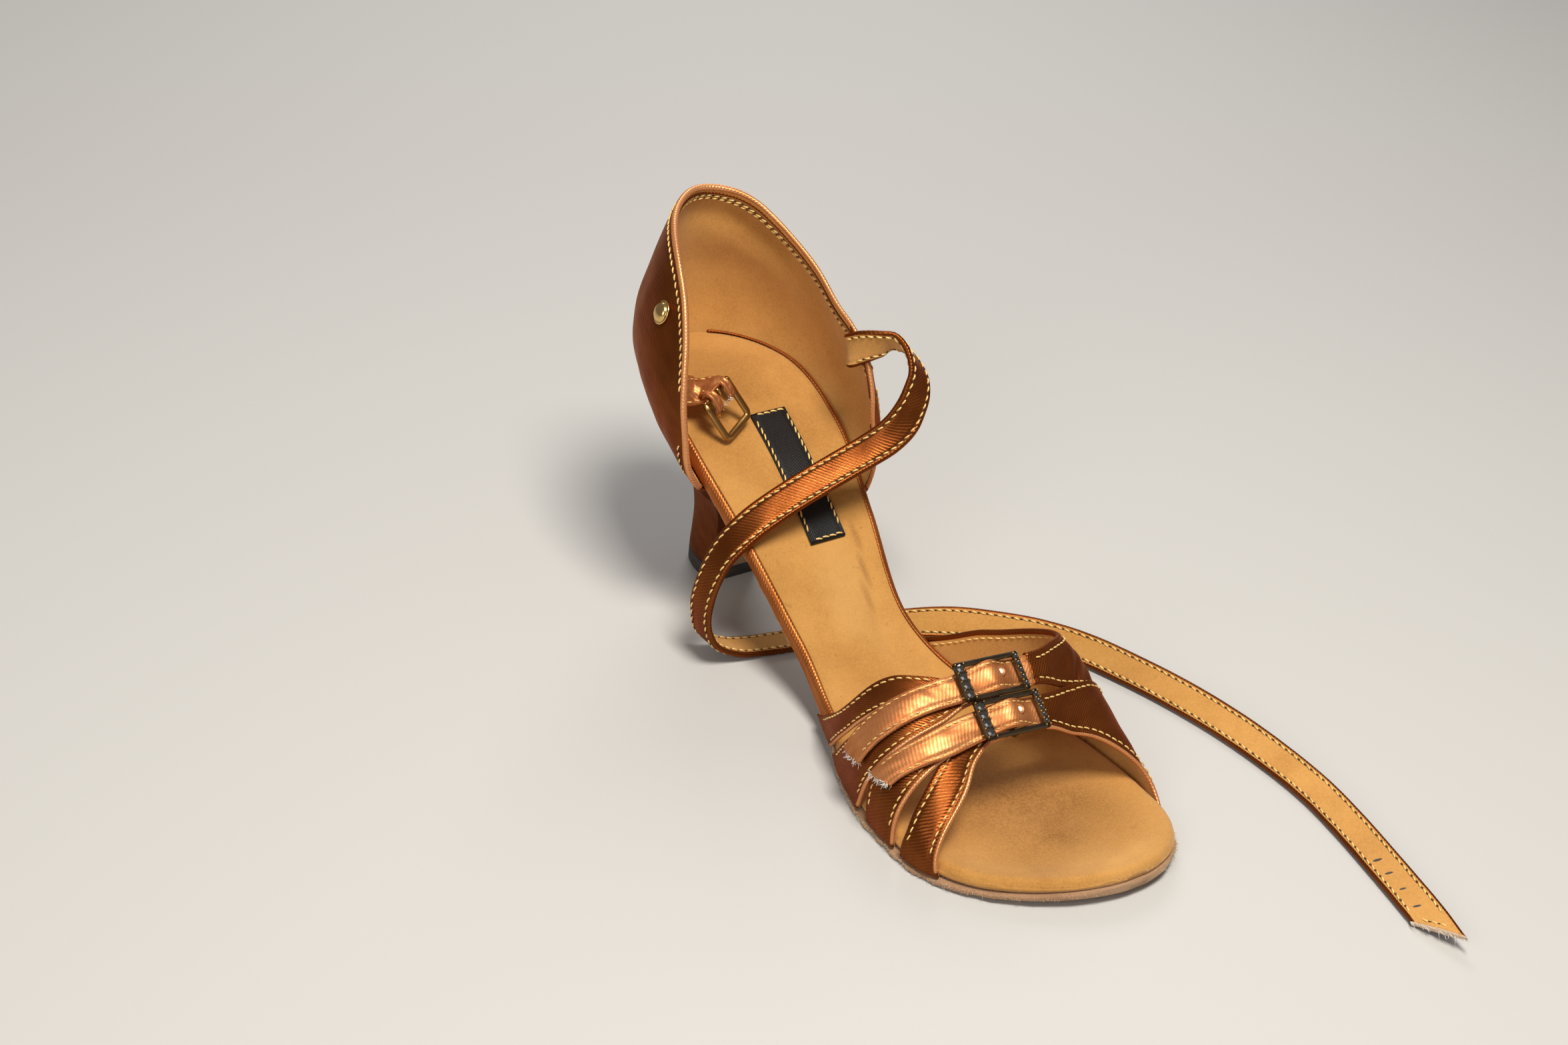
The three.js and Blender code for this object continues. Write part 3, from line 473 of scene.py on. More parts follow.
def cup_point(arc, share, depth):
    """A point of the heel cup: share of its height, and depth outwards from its inner face."""
    arc, share, depth = floats(arc, share, depth)
    station, x = edge_at(arc)
    (s0, x0), (s1, x1) = edge_at(arc - 1.5), edge_at(arc + 1.5)
    normal = unit(stack(along(s0) - along(s1), x1 - x0, 0.0))
    foot = below(station, INSOLE_THICK)
    height = insole_top(station) + rise_at(arc) - foot
    swell = belly_at(arc) * np.minimum(1, height / 40)

    def out(t):
        t = np.maximum(t, 0)
        return GAP + out_at(arc) * t**1.5 + swell * np.sin(math.pi * np.minimum(1, t) ** 0.8)

    lean = (out(share + 0.01) - out(share - 0.01)) / (0.02 * height)
    tilt = np.where(share <= 0, 0, np.arctan(lean))
    flat = stack(x, along(station), foot + share * height - depth * np.sin(tilt))
    return flat + normal * (out(share) + depth * np.cos(tilt))[..., None]


ridge_at, outer_power, inner_power, inner_flare = curves(VAMP)


def arch_point(station, arch):
    """A point of the forefoot's form: arch runs from 0 at the outer edge to 1 at the inner one."""
    station, arch = floats(station, arch)
    middle, half = plan(station)
    foot = below(station, INSOLE_THICK + GAP) + GAP
    height = ridge_at(station) - foot
    blend = smoothstep(arch, 0.4, 0.6)
    power = outer_power(station) * (1 - blend) + inner_power(station) * blend
    cosine, sine = np.cos(math.pi * arch), np.sin(math.pi * arch)
    square = np.abs(cosine / (half + UPPER_CLEAR)) ** power + np.abs(sine / height) ** power
    reach = square ** (-1 / power)
    lean = inner_flare(station) * sine * smoothstep(arch, 0.5, 0.75)
    return stack(middle - reach * cosine + lean, along(station), foot + reach * sine)


def on_vamp(station, arch, lift):
    over = arch_point(station, arch + 0.004) - arch_point(station, arch - 0.004)
    forward = arch_point(station + 0.5, arch) - arch_point(station - 0.5, arch)
    normal = unit(np.cross(forward, over))
    return arch_point(station, arch) + normal * np.asarray(lift, float)[..., None]


# Meshes
def add_object(name, data):
    item = bpy.data.objects.new(name, data)
    bpy.context.scene.collection.objects.link(item)
    return item


def make(
    name, vertices, faces, materials, body="shoe", slot=None, replaces=(), uv=None, skin=None, smooth=True
):
    """One piece of the scene, from points in millimetres."""
    mesh = bpy.data.meshes.new(name)
    mesh.from_pydata((np.asarray(vertices, float) * MM).tolist(), [], faces)
    for material in materials:
        mesh.materials.append(material)
    if skin is not None:
        mesh.polygons.foreach_set("material_index", np.asarray(skin, np.int32))
    if uv is not None:
        mesh.uv_layers.new(name="cloth").data.foreach_set("uv", (np.asarray(uv, float) * MM).ravel())
    mesh.polygons.foreach_set("use_smooth", np.full(len(faces), smooth))
    mesh.update()
    item = add_object(name, mesh)
    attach(item, body)
    if replaces:
        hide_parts(*replaces)
    return item


class Soup:
    """Gathers many small closed meshes into one piece."""

    def __init__(self):
        self.vertices, self.faces, self.uv, self.count = [], [], [], 0

    def add(self, vertices, faces, uv=None):
        vertices = np.asarray(vertices, float)
        self.vertices.append(vertices)
        self.faces.extend([[index + self.count for index in face] for face in faces])
        self.uv.extend(uv if uv is not None else [(0, 0)] * sum(len(face) for face in faces))
        self.count += len(vertices)

    def add_turned(self, profile, segments, axes, spots=((0, 0, 0),)):
        """Adds a round piece at each of some spots that are given in its axes."""
        vertices, faces = turned(profile, segments)
        for spot in spots:
            self.add(placed(vertices + spot, *axes), faces)

    def piece(self, name, materials, **rest):
        return make(name, np.vstack(self.vertices), self.faces, materials, uv=self.uv, **rest)


def quads(reach, around, run_first=True):
    """Faces of a skin through closed rings of points, and their places on the cloth.

    reach is the way along the rings, and around the way round each ring, with its start once more at its end.
    """
    rows, ring = around.shape[0], around.shape[1] - 1
    faces, uv = [], []
    for i in range(rows - 1):
        for j in range(ring):
            corners = [(i, j), (i + 1, j), (i + 1, j + 1), (i, j + 1)]
            if not run_first:
                corners[1], corners[3] = corners[3], corners[1]
            faces.append([row * ring + column % ring for row, column in corners])
            uv += [(reach[row], around[row, column]) for row, column in corners]
    return faces, uv


def end_faces(rows, ring):
    """The two faces that close a skin of rings."""
    return [list(range(ring)), [(rows - 1) * ring + j for j in reversed(range(ring))]]


def carried_normal(forward):
    """Normals along a path that turn as little as they can."""
    rows = [unit(np.cross(forward[0], (0.3, 0.5, 0.8)))]
    for tangent in forward[1:]:
        rows.append(unit(square_to(rows[-1], tangent)))
    return np.array(rows)


def tube_mesh(path, radius, sides=10, normal=None, flat=1.0):
    """A closed tube along a path; radius may change along it, and flat squeezes it along its normal."""
    path = np.asarray(path, float)
    radius = np.broadcast_to(np.asarray(radius, float), len(path))
    forward = unit(np.gradient(path, axis=0))
    normal = carried_normal(forward) if normal is None else unit(square_to(normal, forward))
    side = np.cross(forward, normal)
    angles = np.linspace(0, 2 * math.pi, sides, endpoint=False)
    ring = normal[:, None] * np.sin(angles)[None, :, None] * flat
    ring = ring + side[:, None] * np.cos(angles)[None, :, None]
    vertices = (path[:, None] + ring * radius[:, None, None]).reshape(-1, 3)
    turn = 2 * math.pi * float(np.mean(radius)) / sides
    around = np.broadcast_to(np.arange(sides + 1) * turn, (len(path), sides + 1))
    faces, uv = quads(travelled(path), around)
    return vertices, faces + end_faces(len(path), sides), uv + [(0, 0)] * (2 * sides)


def tube(name, path, radius, sides, material):
    soup = Soup()
    soup.add(*tube_mesh(path, radius, sides))
    soup.piece(name, [material], slot="satin")


def stitch(soup, path, normal, kind=EDGE_STITCH, holes=None, lean=1):
    """Sews a row of thread along a path on a surface; lean -1 turns its slant round."""
    pitch, length, radius, slant = kind
    reach = travelled(path)
    across = np.cross(unit(np.gradient(path, axis=0)), normal)
    for centre in np.arange(pitch, reach[-1] - pitch / 2, pitch):
        jitter = random.normal(0, STITCH_JITTER, 2)
        ways = centre + jitter[0] + STITCH_SHAPE[:, 0] * length / 2
        spots, up, over = (resampled(ways, reach, rows) for rows in (path, normal, across))
        lift = STITCH_SHAPE[:, 2:] * radius
        shift = STITCH_SHAPE[:, :1] * (lean * slant) * length / 2 + jitter[1] * 0.5
        soup.add(*tube_mesh(spots + up * lift + over * shift, STITCH_SHAPE[:, 1] * radius, 6, up))
    if holes is not None:
        paint_hole_shade(holes, path, normal, pitch, pitch - length + 0.5)


def paint_hole_shade(soup, path, normal, pitch, length):
    """Painted shade of the holes where the thread of a row goes through the leather, between its stitches:
    dark flat marks on the surface.
    """
    reach = travelled(path)
    for centre in np.arange(1.5 * pitch, reach[-1] - pitch, pitch):
        ways = centre + np.linspace(-0.5, 0.5, 3) * length
        spots, up = (resampled(ways, reach, rows) for rows in (path, normal))
        soup.add(*tube_mesh(spots, HOLE_RADII, 6, up, HOLE_FLAT))


def surface_row(place, ways, sides, depth):
    """A row of points on a place function's surface, with outward normals."""
    path = place(ways, sides, depth)
    return path, unit(place(ways, sides, depth + 0.2) - place(ways, sides, depth - 0.2))


EDGE_ANGLES = np.linspace(0, math.pi / 2, 5)


def strap_section(width, wall, middle_count):
    """Cross-sections of a strap: distances from one edge, and how far the rounded edges have risen."""
    radius = wall / 2
    rim = radius * (1 - np.cos(EDGE_ANGLES))
    rest = np.linspace(0, 1, middle_count + 2)[1:-1]
    first = np.broadcast_to(rim, (len(width), len(rim)))
    from_edge = np.hstack([first, radius + (width - 2 * radius) * rest, width - rim[::-1]])
    rise = np.sin(EDGE_ANGLES)
    return from_edge, np.concatenate([rise, np.ones(middle_count), rise[::-1]])


def strap_ends(rows, ring, columns):
    """Faces that close both cut ends of a strap."""
    faces = []
    for row, flip in ((0, True), (rows - 1, False)):
        for j in range(columns - 1):
            corners = dict.fromkeys((j, j + 1, ring - j - 1, (ring - j) % ring))
            face = [row * ring + corner for corner in corners]
            faces.append(face[::-1] if flip else face)
    return faces


def strap_mesh(
    ways, reach, width, place, wall, middle_count=15, crown=0.0, relief=None, inner_relief=None, turned_in=0.0
):
    """Two-faced strap: an outer face, rounded edges and an inner face.

    place(way, side, depth) gives points, side from -1 to 1 and depth from the inner face in millimetres.
    Skins: 0 outer face, 1 inner face, 2 cut ends.
    """
    width = np.broadcast_to(np.asarray(width, float), len(ways))[:, None]
    radius = wall / 2
    from_edge, lift = strap_section(width, wall, middle_count)
    inside = np.minimum(from_edge, width - from_edge)
    side = 2 * from_edge / width - 1
    outer_depth = radius + (radius + crown * (1 - side**2)) * lift
    inner_depth = np.broadcast_to(radius - radius * lift, from_edge.shape)
    if relief is not None:
        outer_depth = outer_depth + relief(reach[:, None], from_edge, inside) * lift
    if inner_relief is not None:
        inner_depth = inner_depth - inner_relief(reach[:, None], from_edge, inside) * lift
    column = np.asarray(ways, float)[:, None]
    outer = place(column, side, outer_depth)
    inner = place(column, side, inner_depth)[:, -2:0:-1]
    loop = np.concatenate([outer, inner], axis=1)
    across = np.concatenate([from_edge, 2 * width - from_edge[:, -2:0:-1], 2 * width], axis=1)
    faces, uv = quads(reach, across, run_first=False)
    past = (across[:-1, :-1] + across[:-1, 1:]) / 2 - width[:-1]
    lining = (past > 0) & (np.minimum(past, width[:-1] - past) > turned_in)
    ends = strap_ends(*loop.shape[:2], outer.shape[1])
    uv += [(0, 0)] * sum(len(face) for face in ends)
    return loop.reshape(-1, 3), faces + ends, uv, [*lining.astype(int).ravel(), *[2] * len(ends)]


def outward(vertices, faces, uv):
    """Turns all faces round if the mesh is inside out."""
    first = np.array([face[:3] for face in faces])
    a, b, c = (vertices[first[:, k]] for k in range(3))
    volume = np.sum(a * np.cross(b, c))
    for face in faces:
        if len(face) == 4:
            a, b, c = (vertices[face[k]] for k in (0, 2, 3))
            volume += np.dot(a, np.cross(b, c))
    if volume >= 0:
        return faces, uv
    turned, start = [], 0
    for face in faces:
        turned += uv[start : start + len(face)][::-1]
        start += len(face)
    return [face[::-1] for face in faces], turned


def strap(name, ways, width, place, wall, skins, slot="satin", replaces=(), **rest):
    """A piece made of one strap; skins are the materials of its outer face, inner face and ends."""
    line = place(ways, np.zeros(len(ways)), np.full(len(ways), wall / 2))
    vertices, faces, uv, skin = strap_mesh(ways, travelled(line), width, place, wall, **rest)
    faces, uv = outward(vertices, faces, uv)
    return make(name, vertices, faces, skins, slot=slot, replaces=replaces, uv=uv, skin=skin)


def fray(name, ends, outward_way, length, count, spread=0.5):
    """White threads that stand out of a cut end, and stay above the floor."""
    soup = Soup()
    steps = np.linspace(0, 1, 5)[:, None]
    for _ in range(count):
        start = ends[random.integers(len(ends))] + random.normal(0, 0.25, 3)
        way = unit(outward_way + random.normal(0, spread, 3))
        reach = length * random.uniform(0.4, 1.2)
        bend = random.normal(0, 0.25, 3) * reach
        path = start + way * reach * steps + bend * steps**2
        path[:, 2] = np.maximum(path[:, 2], FRAY_CLEAR)
        soup.add(*tube_mesh(path, np.linspace(*FRAY_RADII, 5), 4))
    return soup.piece(name, [FLUFF])


def block(size, at, bevel):
    """Corners and faces of a bar with chamfered edges, in its own axes."""
    half = np.asarray(size, float) / 2
    cut = min(bevel, 0.45 * min(half) * 2)
    vertices, faces = [], []
    corners = [(x, y, z) for x in (-1, 1) for y in (-1, 1) for z in (-1, 1)]
    index = {}
    for corner in corners:
        for axis in range(3):
            point = np.array(corner) * (half - cut)
            point[axis] = corner[axis] * half[axis]
            index[corner, axis] = len(vertices)
            vertices.append(point + at)
    for axis in range(3):
        for sign in (-1, 1):
            ring = [c for c in corners if c[axis] == sign]
            ring = [ring[k] for k in (0, 1, 3, 2)]
            faces.append([index[c, axis] for c in ring])
    for axis in range(3):
        first, second = [k for k in range(3) if k != axis]
        for a in (-1, 1):
            for b in (-1, 1):
                low, high = [0, 0, 0], [0, 0, 0]
                for corner, value in ((low, -1), (high, 1)):
                    corner[axis], corner[first], corner[second] = value, a, b
                low, high = tuple(low), tuple(high)
                faces.append([index[low, first], index[high, first], index[high, second], index[low, second]])
    for corner in corners:
        faces.append([index[corner, axis] for axis in range(3)])
    vertices = np.array(vertices)
    centre = np.asarray(at, float)
    fixed = []
    for face in faces:
        a, b, c = (vertices[face[k]] for k in range(3))
        facing = np.dot(np.cross(b - a, c - a), vertices[face].mean(axis=0) - centre)
        fixed.append(face if facing > 0 else face[::-1])
    return vertices, fixed


def turned(profile, segments):
    """A closed round piece from (radius, height) pairs that start and end on the axis."""
    angles = np.linspace(0, 2 * math.pi, segments, endpoint=False)
    rings = profile[1:-1]
    vertices = [(0, 0, profile[0][1])]
    for radius, height in rings:
        vertices += [(radius * math.cos(a), radius * math.sin(a), height) for a in angles]
    vertices.append((0, 0, profile[-1][1]))
    faces = []
    for j in range(segments):
        k = (j + 1) % segments
        faces.append([0, 1 + k, 1 + j])
        for i in range(len(rings) - 1):
            base = 1 + i * segments
            faces.append([base + j, base + k, base + segments + k, base + segments + j])
        base = 1 + (len(rings) - 1) * segments
        faces.append([base + j, base + k, len(vertices) - 1])
    return np.array(vertices, float), faces


def placed(vertices, middle, run, across, normal):
    """Points of a small piece, moved from its own axes to the part's frame."""
    return np.asarray(middle) + vertices @ np.stack([run, across, normal])


# Materials
class Shader:
    """A node material, with short calls for its nodes and links."""

    def __init__(self, name, **values):
        self.material = bpy.data.materials.new(name)
        self.material.use_nodes = True
        self.tree = self.material.node_tree
        self.surface = self.tree.nodes["Principled BSDF"]
        for key, value in values.items():
            self.surface.inputs[key.replace("_", " ")].default_value = value

    def node(self, kind, inputs=(), **settings):
        node = self.tree.nodes.new(kind)
        for key, value in settings.items():
            setattr(node, key, value)
        for key, value in dict(inputs).items():
            self.feed(node, key, value)
        return node

    def feed(self, node, key, value):
        """Links an output to a node's input, or sets the input's value."""
        if hasattr(value, "is_output"):
            self.tree.links.new(value, node.inputs[key])
        else:
            node.inputs[key].default_value = value

    def link(self, output, key):
        self.tree.links.new(output, self.surface.inputs[key])

    def cloth(self, scale=(1, 1, 1), turn=0.0):
        """Place on the cloth, along and across the piece."""
        uv = self.node("ShaderNodeUVMap", uv_map="cloth").outputs[0]
        inputs = {"Vector": uv, "Scale": scale, "Rotation": (0, 0, turn)}
        return self.node("ShaderNodeMapping", inputs).outputs[0]

    def place(self, scale=(1, 1, 1)):
        coordinates = self.node("ShaderNodeTexCoord").outputs["Object"]
        return self.node("ShaderNodeMapping", {"Vector": coordinates, "Scale": scale}).outputs[0]

    def noise(self, vector, scale, detail=3.0, roughness=0.55):
        inputs = {"Vector": vector, "Scale": scale, "Detail": detail, "Roughness": roughness}
        return self.node("ShaderNodeTexNoise", inputs).outputs["Fac"]

    def wave(self, vector, scale, distortion=0.0, detail_scale=1.0):
        inputs = {"Vector": vector, "Scale": scale, "Distortion": distortion, "Detail Scale": detail_scale}
        return self.node("ShaderNodeTexWave", inputs).outputs["Fac"]

    def spread(self, value, low, high, start=0.0, end=1.0):
        inputs = {"Value": value, "From Min": low, "From Max": high, "To Min": start, "To Max": end}
        return self.node("ShaderNodeMapRange", inputs).outputs[0]

    def math(self, operation, a, b):
        return self.node("ShaderNodeMath", {0: a, 1: b}, operation=operation).outputs[0]

    def weigh(self, a, share_of_a, b, share_of_b):
        """Sum of two values, each with its own share."""
        return self.math("ADD", self.math("MULTIPLY", a, share_of_a), self.math("MULTIPLY", b, share_of_b))

    def mix(self, factor, a, b):
        """Colour between two colours."""
        node = self.node("ShaderNodeMix", data_type="RGBA")
        self.feed(node, 0, factor)
        for key, value in ((6, a), (7, b)):
            self.feed(node, key, value if hasattr(value, "is_output") else (*value, 1))
        return node.outputs[2]

    def spot(self, centre, radii, soft=0.6):
        """1 inside an ellipsoid at a place in millimetres, 0 outside."""
        coordinates = self.node("ShaderNodeTexCoord").outputs["Object"]
        scale = [1 / (r * MM) for r in radii]
        shift = [-c / r for c, r in zip(centre, radii)]
        inputs = {"Vector": coordinates, "Location": shift, "Scale": scale}
        vector = self.node("ShaderNodeMapping", inputs).outputs[0]
        distance = self.node("ShaderNodeVectorMath", {0: vector}, operation="LENGTH").outputs["Value"]
        return self.spread(distance, 1 - soft, 1.0, 1.0, 0.0)

    def bump(self, height, strength, distance, under=None):
        inputs = {"Height": height, "Strength": strength, "Distance": distance * MM}
        if under is not None:
            inputs["Normal"] = under
        return self.node("ShaderNodeBump", inputs).outputs[0]


def toned(colour, factor):
    return tuple(min(1, channel * factor) for channel in colour)


def satin(name, deep, bright, roughness=0.36, metallic=0.55, crush=0.0, twill=0.8):
    """Satin: a fine slanting twill over slow changes of tone; crush adds crinkles."""
    s = Shader(name, Metallic=metallic, Anisotropic=0.55, Sheen_Weight=0.04, Sheen_Roughness=0.35)
    s.surface.inputs["Sheen Tint"].default_value = (1.0, 0.62, 0.36, 1)
    s.surface.inputs["Specular Tint"].default_value = (0.85, 0.42, 0.18, 1)
    cloth = s.cloth()
    tone = s.noise(s.cloth((60, 200, 1)), 1.0, 2.0)
    thread = s.noise(s.cloth((2600, 420, 1), 0.6), 1.0, 2.0)
    rib = s.wave(s.cloth((1, 1, 1), 0.62), 340, 1.4, 3.0)
    grain = s.weigh(thread, 0.2, rib, 0.14 * twill)
    shade = s.math("ADD", s.math("MULTIPLY", tone, 0.66), grain)
    s.link(s.mix(s.spread(shade, 0.36, 0.64), deep, bright), "Base Color")
    gloss = s.math("MULTIPLY", tone, rib)
    s.link(s.spread(gloss, 0.05, 0.6, roughness + 0.08, roughness - 0.06), "Roughness")
    bump = s.bump(rib, 0.5 * twill, 0.14)
    weave = s.bump(thread, 0.25, 0.06, bump)
    creases = s.noise(cloth, 140, 3.0)
    s.link(s.bump(creases, 0.25 + crush, 0.25 + 0.5 * crush, weave), "Normal")
    s.link(s.node("ShaderNodeTangent", direction_type="UV_MAP", uv_map="cloth").outputs[0], "Tangent")
    return s.material


def suede(name, dark, light, stains_and_shade=(), nap=0.5):
    """Napped suede with mottling, and listed marks of stain and painted shade: (centre, radii, colour,
    strength).
    """
    s = Shader(name, Roughness=0.93, Sheen_Weight=0.35, Sheen_Roughness=0.55)
    s.surface.inputs["Sheen Tint"].default_value = (1.0, 0.86, 0.62, 1)
    s.surface.inputs["Specular IOR Level"].default_value = 0.15
    place = s.place()
    mottle = s.noise(place, 55, 5.0, 0.6)
    blotch = s.noise(place, 18, 3.0)
    fibre = s.noise(place, 1500, 2.0)
    tone = s.weigh(mottle, 0.55, blotch, 0.45)
    colour = s.mix(s.spread(tone, 0.34, 0.66), dark, light)
    # Each listed mark tints the colour; the sock's list holds both stains and painted shade
    for centre, radii, tint, strength in stains_and_shade:
        patch = s.math("MULTIPLY", s.spot(centre, radii), s.spread(mottle, 0.30, 0.62, 0.35, 1.0))
        colour = s.mix(s.math("MULTIPLY", patch, strength), colour, tint)
    flecks = s.spread(s.noise(place, 420, 2.0), 0.66, 0.74, 0.0, 0.35)
    colour = s.mix(flecks, colour, toned(dark, 0.62))
    s.link(s.mix(s.spread(fibre, 0.35, 0.65, 0.0, 0.22), colour, toned(light, 1.35)), "Base Color")
    grain = s.bump(fibre, nap, 0.12)
    s.link(s.bump(s.noise(place, 210, 4.0), 0.3, 0.25, grain), "Normal")
    return s.material


def plain(name, colour, roughness, metallic=0.0, grain=0.0, scale=900, **values):
    """Evenly coloured material with fine specks and slow changes of wear."""
    s = Shader(name, Metallic=metallic, **values)
    place = s.place()
    speck = s.noise(place, scale, 3.0)
    wear = s.noise(place, 120, 4.0)
    tone = s.spread(s.weigh(speck, 0.4, wear, 0.6), 0.35, 0.65)
    s.link(s.mix(tone, toned(colour, 0.78), toned(colour, 1.15)), "Base Color")
    s.link(s.spread(wear, 0.3, 0.7, roughness - 0.06, roughness + 0.1), "Roughness")
    s.link(s.bump(speck, grain, 0.05), "Normal")
    return s.material


def woven(name, colour, pitch):
    """Plain weave of a label or ribbon."""
    s = Shader(name, Roughness=0.42)
    s.surface.inputs["Specular IOR Level"].default_value = 0.3
    steps = 2 * math.pi / (20 * pitch * MM)
    warp = s.wave(s.cloth(), steps)
    weft = s.wave(s.cloth((1, 1, 1), math.pi / 2), steps)
    cross = s.math("MAXIMUM", warp, weft)
    s.link(s.mix(s.spread(cross, 0.3, 1.0), toned(colour, 0.4), colour), "Base Color")
    s.link(s.bump(cross, 0.5, 0.12), "Normal")
    return s.material


COPPER = satin("copper_satin", (0.135, 0.033, 0.0065), (0.20, 0.054, 0.0115), 0.31, 0.75)
# Lighter copy of the satin for the piping: mostly painted highlight, partly a paler copper
PALE_LIT_COPPER = satin("pale_lit_copper_satin", (0.58, 0.23, 0.085), (0.80, 0.38, 0.17), 0.32, 0.55)
# Lighter copy of the satin for the insole's wrapped edge: painted light, standing for the edge as it is lit
LIT_EDGE_COPPER = satin("lit_edge_satin", (0.29, 0.083, 0.018), (0.45, 0.148, 0.041), 0.33, 0.65)
# Crinkled satin of the tongues and the buckle strap, lighter than the rest: mostly painted highlight, partly
# a paler crushed copper
CRUSHED_LIT = satin("crushed_lit_satin", (0.42, 0.145, 0.047), (0.64, 0.275, 0.108), 0.38, 0.6, 0.12, 0.35)
LINING = suede("tan_lining", (0.43, 0.192, 0.042), (0.62, 0.318, 0.086))
# Stains, and painted shade in the toe's dished middle and along the waist's crease: centre, radii, colour and
# strength
SOCK_STAINS_AND_SHADE = [
    # Dark middle of the toe: partly a wear stain, partly painted shade of the dish inside the padded rim
    ((5, -20, 7), (33, 30, 16), (0.20, 0.072, 0.009), 0.9),
    ((-8, 2, 7), (26, 30, 14), (0.24, 0.09, 0.014), 0.7),
    ((20, -38, 8), (13, 10, 10), (0.40, 0.17, 0.03), 0.5),
    ((-2, 142, 69), (20, 17, 16), (0.30, 0.13, 0.024), 0.6),
    ((12, 120, 60), (12, 12, 14), (0.28, 0.12, 0.022), 0.5),
    ((-10, 118, 60), (10, 14, 16), (0.34, 0.15, 0.03), 0.4),
    ((4, 70, 28), (13, 26, 26), (0.62, 0.36, 0.13), 0.35),
    ((14, 62, 25), (3, 5, 6), (0.26, 0.11, 0.03), 0.5),
    ((-6, 102, 48), (4, 3, 6), (0.28, 0.12, 0.03), 0.4),
    # The next three: painted shade along the crease on the inner side of the waist
    ((14.8, 87, 40), (1.7, 6, 14), (0.25, 0.105, 0.028), 0.6),
    ((12.6, 78, 33), (1.7, 6, 14), (0.25, 0.105, 0.028), 0.6),
    ((9.6, 71, 27), (1.8, 6, 14), (0.27, 0.115, 0.03), 0.55),
]
SOCK = suede("sock_suede", (0.365, 0.16, 0.033), (0.565, 0.285, 0.076), SOCK_STAINS_AND_SHADE, 0.5)
SOLE_STAINS = [((0, -40, 0), (60, 30, 4), (0.26, 0.16, 0.10), 0.4)]
SOLE = suede("sole_suede", (0.26, 0.135, 0.070), (0.43, 0.26, 0.15), SOLE_STAINS, 0.8)
THREAD = plain("gold_thread", (0.92, 0.61, 0.22), 0.38, 0.25, 0.3, 2600)
# Dark marks between stitches: painted shade of the needle holes and the leather pulled in round them
HOLE_SHADE = plain("painted_hole_shade", (0.075, 0.03, 0.01), 0.95)
FLUFF = plain("white_fray", (0.85, 0.80, 0.72), 0.9, 0.0, 0.2, 2000)
LABEL = woven("black_label", (0.006, 0.006, 0.007), 0.5)
RUBBER = plain("tip_rubber", (0.055, 0.045, 0.04), 0.7, 0.0, 0.5, 700)
DARK_METAL = plain("antique_metal", (0.085, 0.062, 0.038), 0.3, 0.9, 0.25, 500)
GOLD = plain("gold_metal", (0.80, 0.52, 0.19), 0.2, 1.0, 0.08, 300)
BRONZE = plain("bronze_metal", (0.42, 0.25, 0.085), 0.27, 1.0, 0.15, 300)
STONE = plain("dark_stone", (0.035, 0.03, 0.028), 0.06, 0.0, 0.0, 300, Coat_Weight=1.0)
CUT_EDGE = suede("cut_edge", (0.52, 0.34, 0.22), (0.70, 0.52, 0.38))
LINED_SATIN = [COPPER, LINING, COPPER]


# Sole
def sole_mesh(stations, top, bottom, across, grow, bulge, ragged=0.0):
    """Lofted layer of the sole: top(station, side) and bottom(station, side) are its two faces.

    The last list says for each face at which station it starts and whether it is on the layer's edge.
    """
    side = -np.cos(np.linspace(0, math.pi, across))
    station = stations[:, None]
    middle, half = plan(station, grow(station / LENGTH))
    if ragged:
        half = half + ragged * ripple(station, np.sign(side) * 40, 5.0, 3) * (np.abs(side) > 0.99)
    x = middle + half * side
    y = np.broadcast_to(along(station), x.shape)
    upper = stack(x, y, top(station, side[None, :]))
    lower = stack(x, y, bottom(station, side[None, :]))
    edge = (upper[:, (0, -1)] + lower[:, (0, -1)]) / 2
    edge[:, :, 0] += (-bulge, bulge)
    loop = np.concatenate([upper, edge[:, 1:2], lower[:, ::-1], edge[:, 0:1]], axis=1)
    rows, ring = loop.shape[:2]
    around = np.linalg.norm(np.diff(loop, axis=1), axis=2).cumsum(axis=1)
    around = np.concatenate([np.zeros((rows, 1)), around, around[:, -1:] + 2], axis=1)
    reach = travelled(stack(0 * stations, along(stations), insole_top(stations)))
    faces, uv = quads(reach, around)
    on_edge = (across - 1, across, ring - 2, ring - 1)
    where = [(begin, j in on_edge) for begin in stations[:-1] for j in range(ring)]
    where += [(stations[0], True), (stations[-1], True)]
    vertices = loop.reshape(-1, 3)
    faces, uv = outward(vertices, faces + end_faces(rows, ring), uv + [(0, 0)] * (2 * ring))
    return vertices, faces, uv, where


# Dents of the sock: middle (x, station), radii and depth
DENTS = [
    ((-2.0, 172.0), (20.0, 20.0), 0.5),
    ((17.0, 199.0), (9.0, 8.0), 0.35),
    ((-4.0, 203.0), (10.0, 6.0), 0.25),
    ((1.5, 26.0), (17.0, 19.0), 0.5),
]
# Creases of the sock: points (x, station), half width and depth
CREASES = [
    (((15.6, 78), (15.2, 86.5), (12.9, 94), (9.5, 101), (8.2, 107), (8.6, 114)), 1.6, 0.7),
    (((-21.5, 61), (-17.1, 62.5), (-12.7, 63)), 0.8, 0.22),
    (((-15, 97), (-8, 99.5), (-2, 99)), 1.1, 0.14),
]
WRAP_END = 127.0
RIM_ROUND, RIM_WIDE, RIM_DISH, WAIST_DISH = 2.8, 8.0, 1.7, 0.7


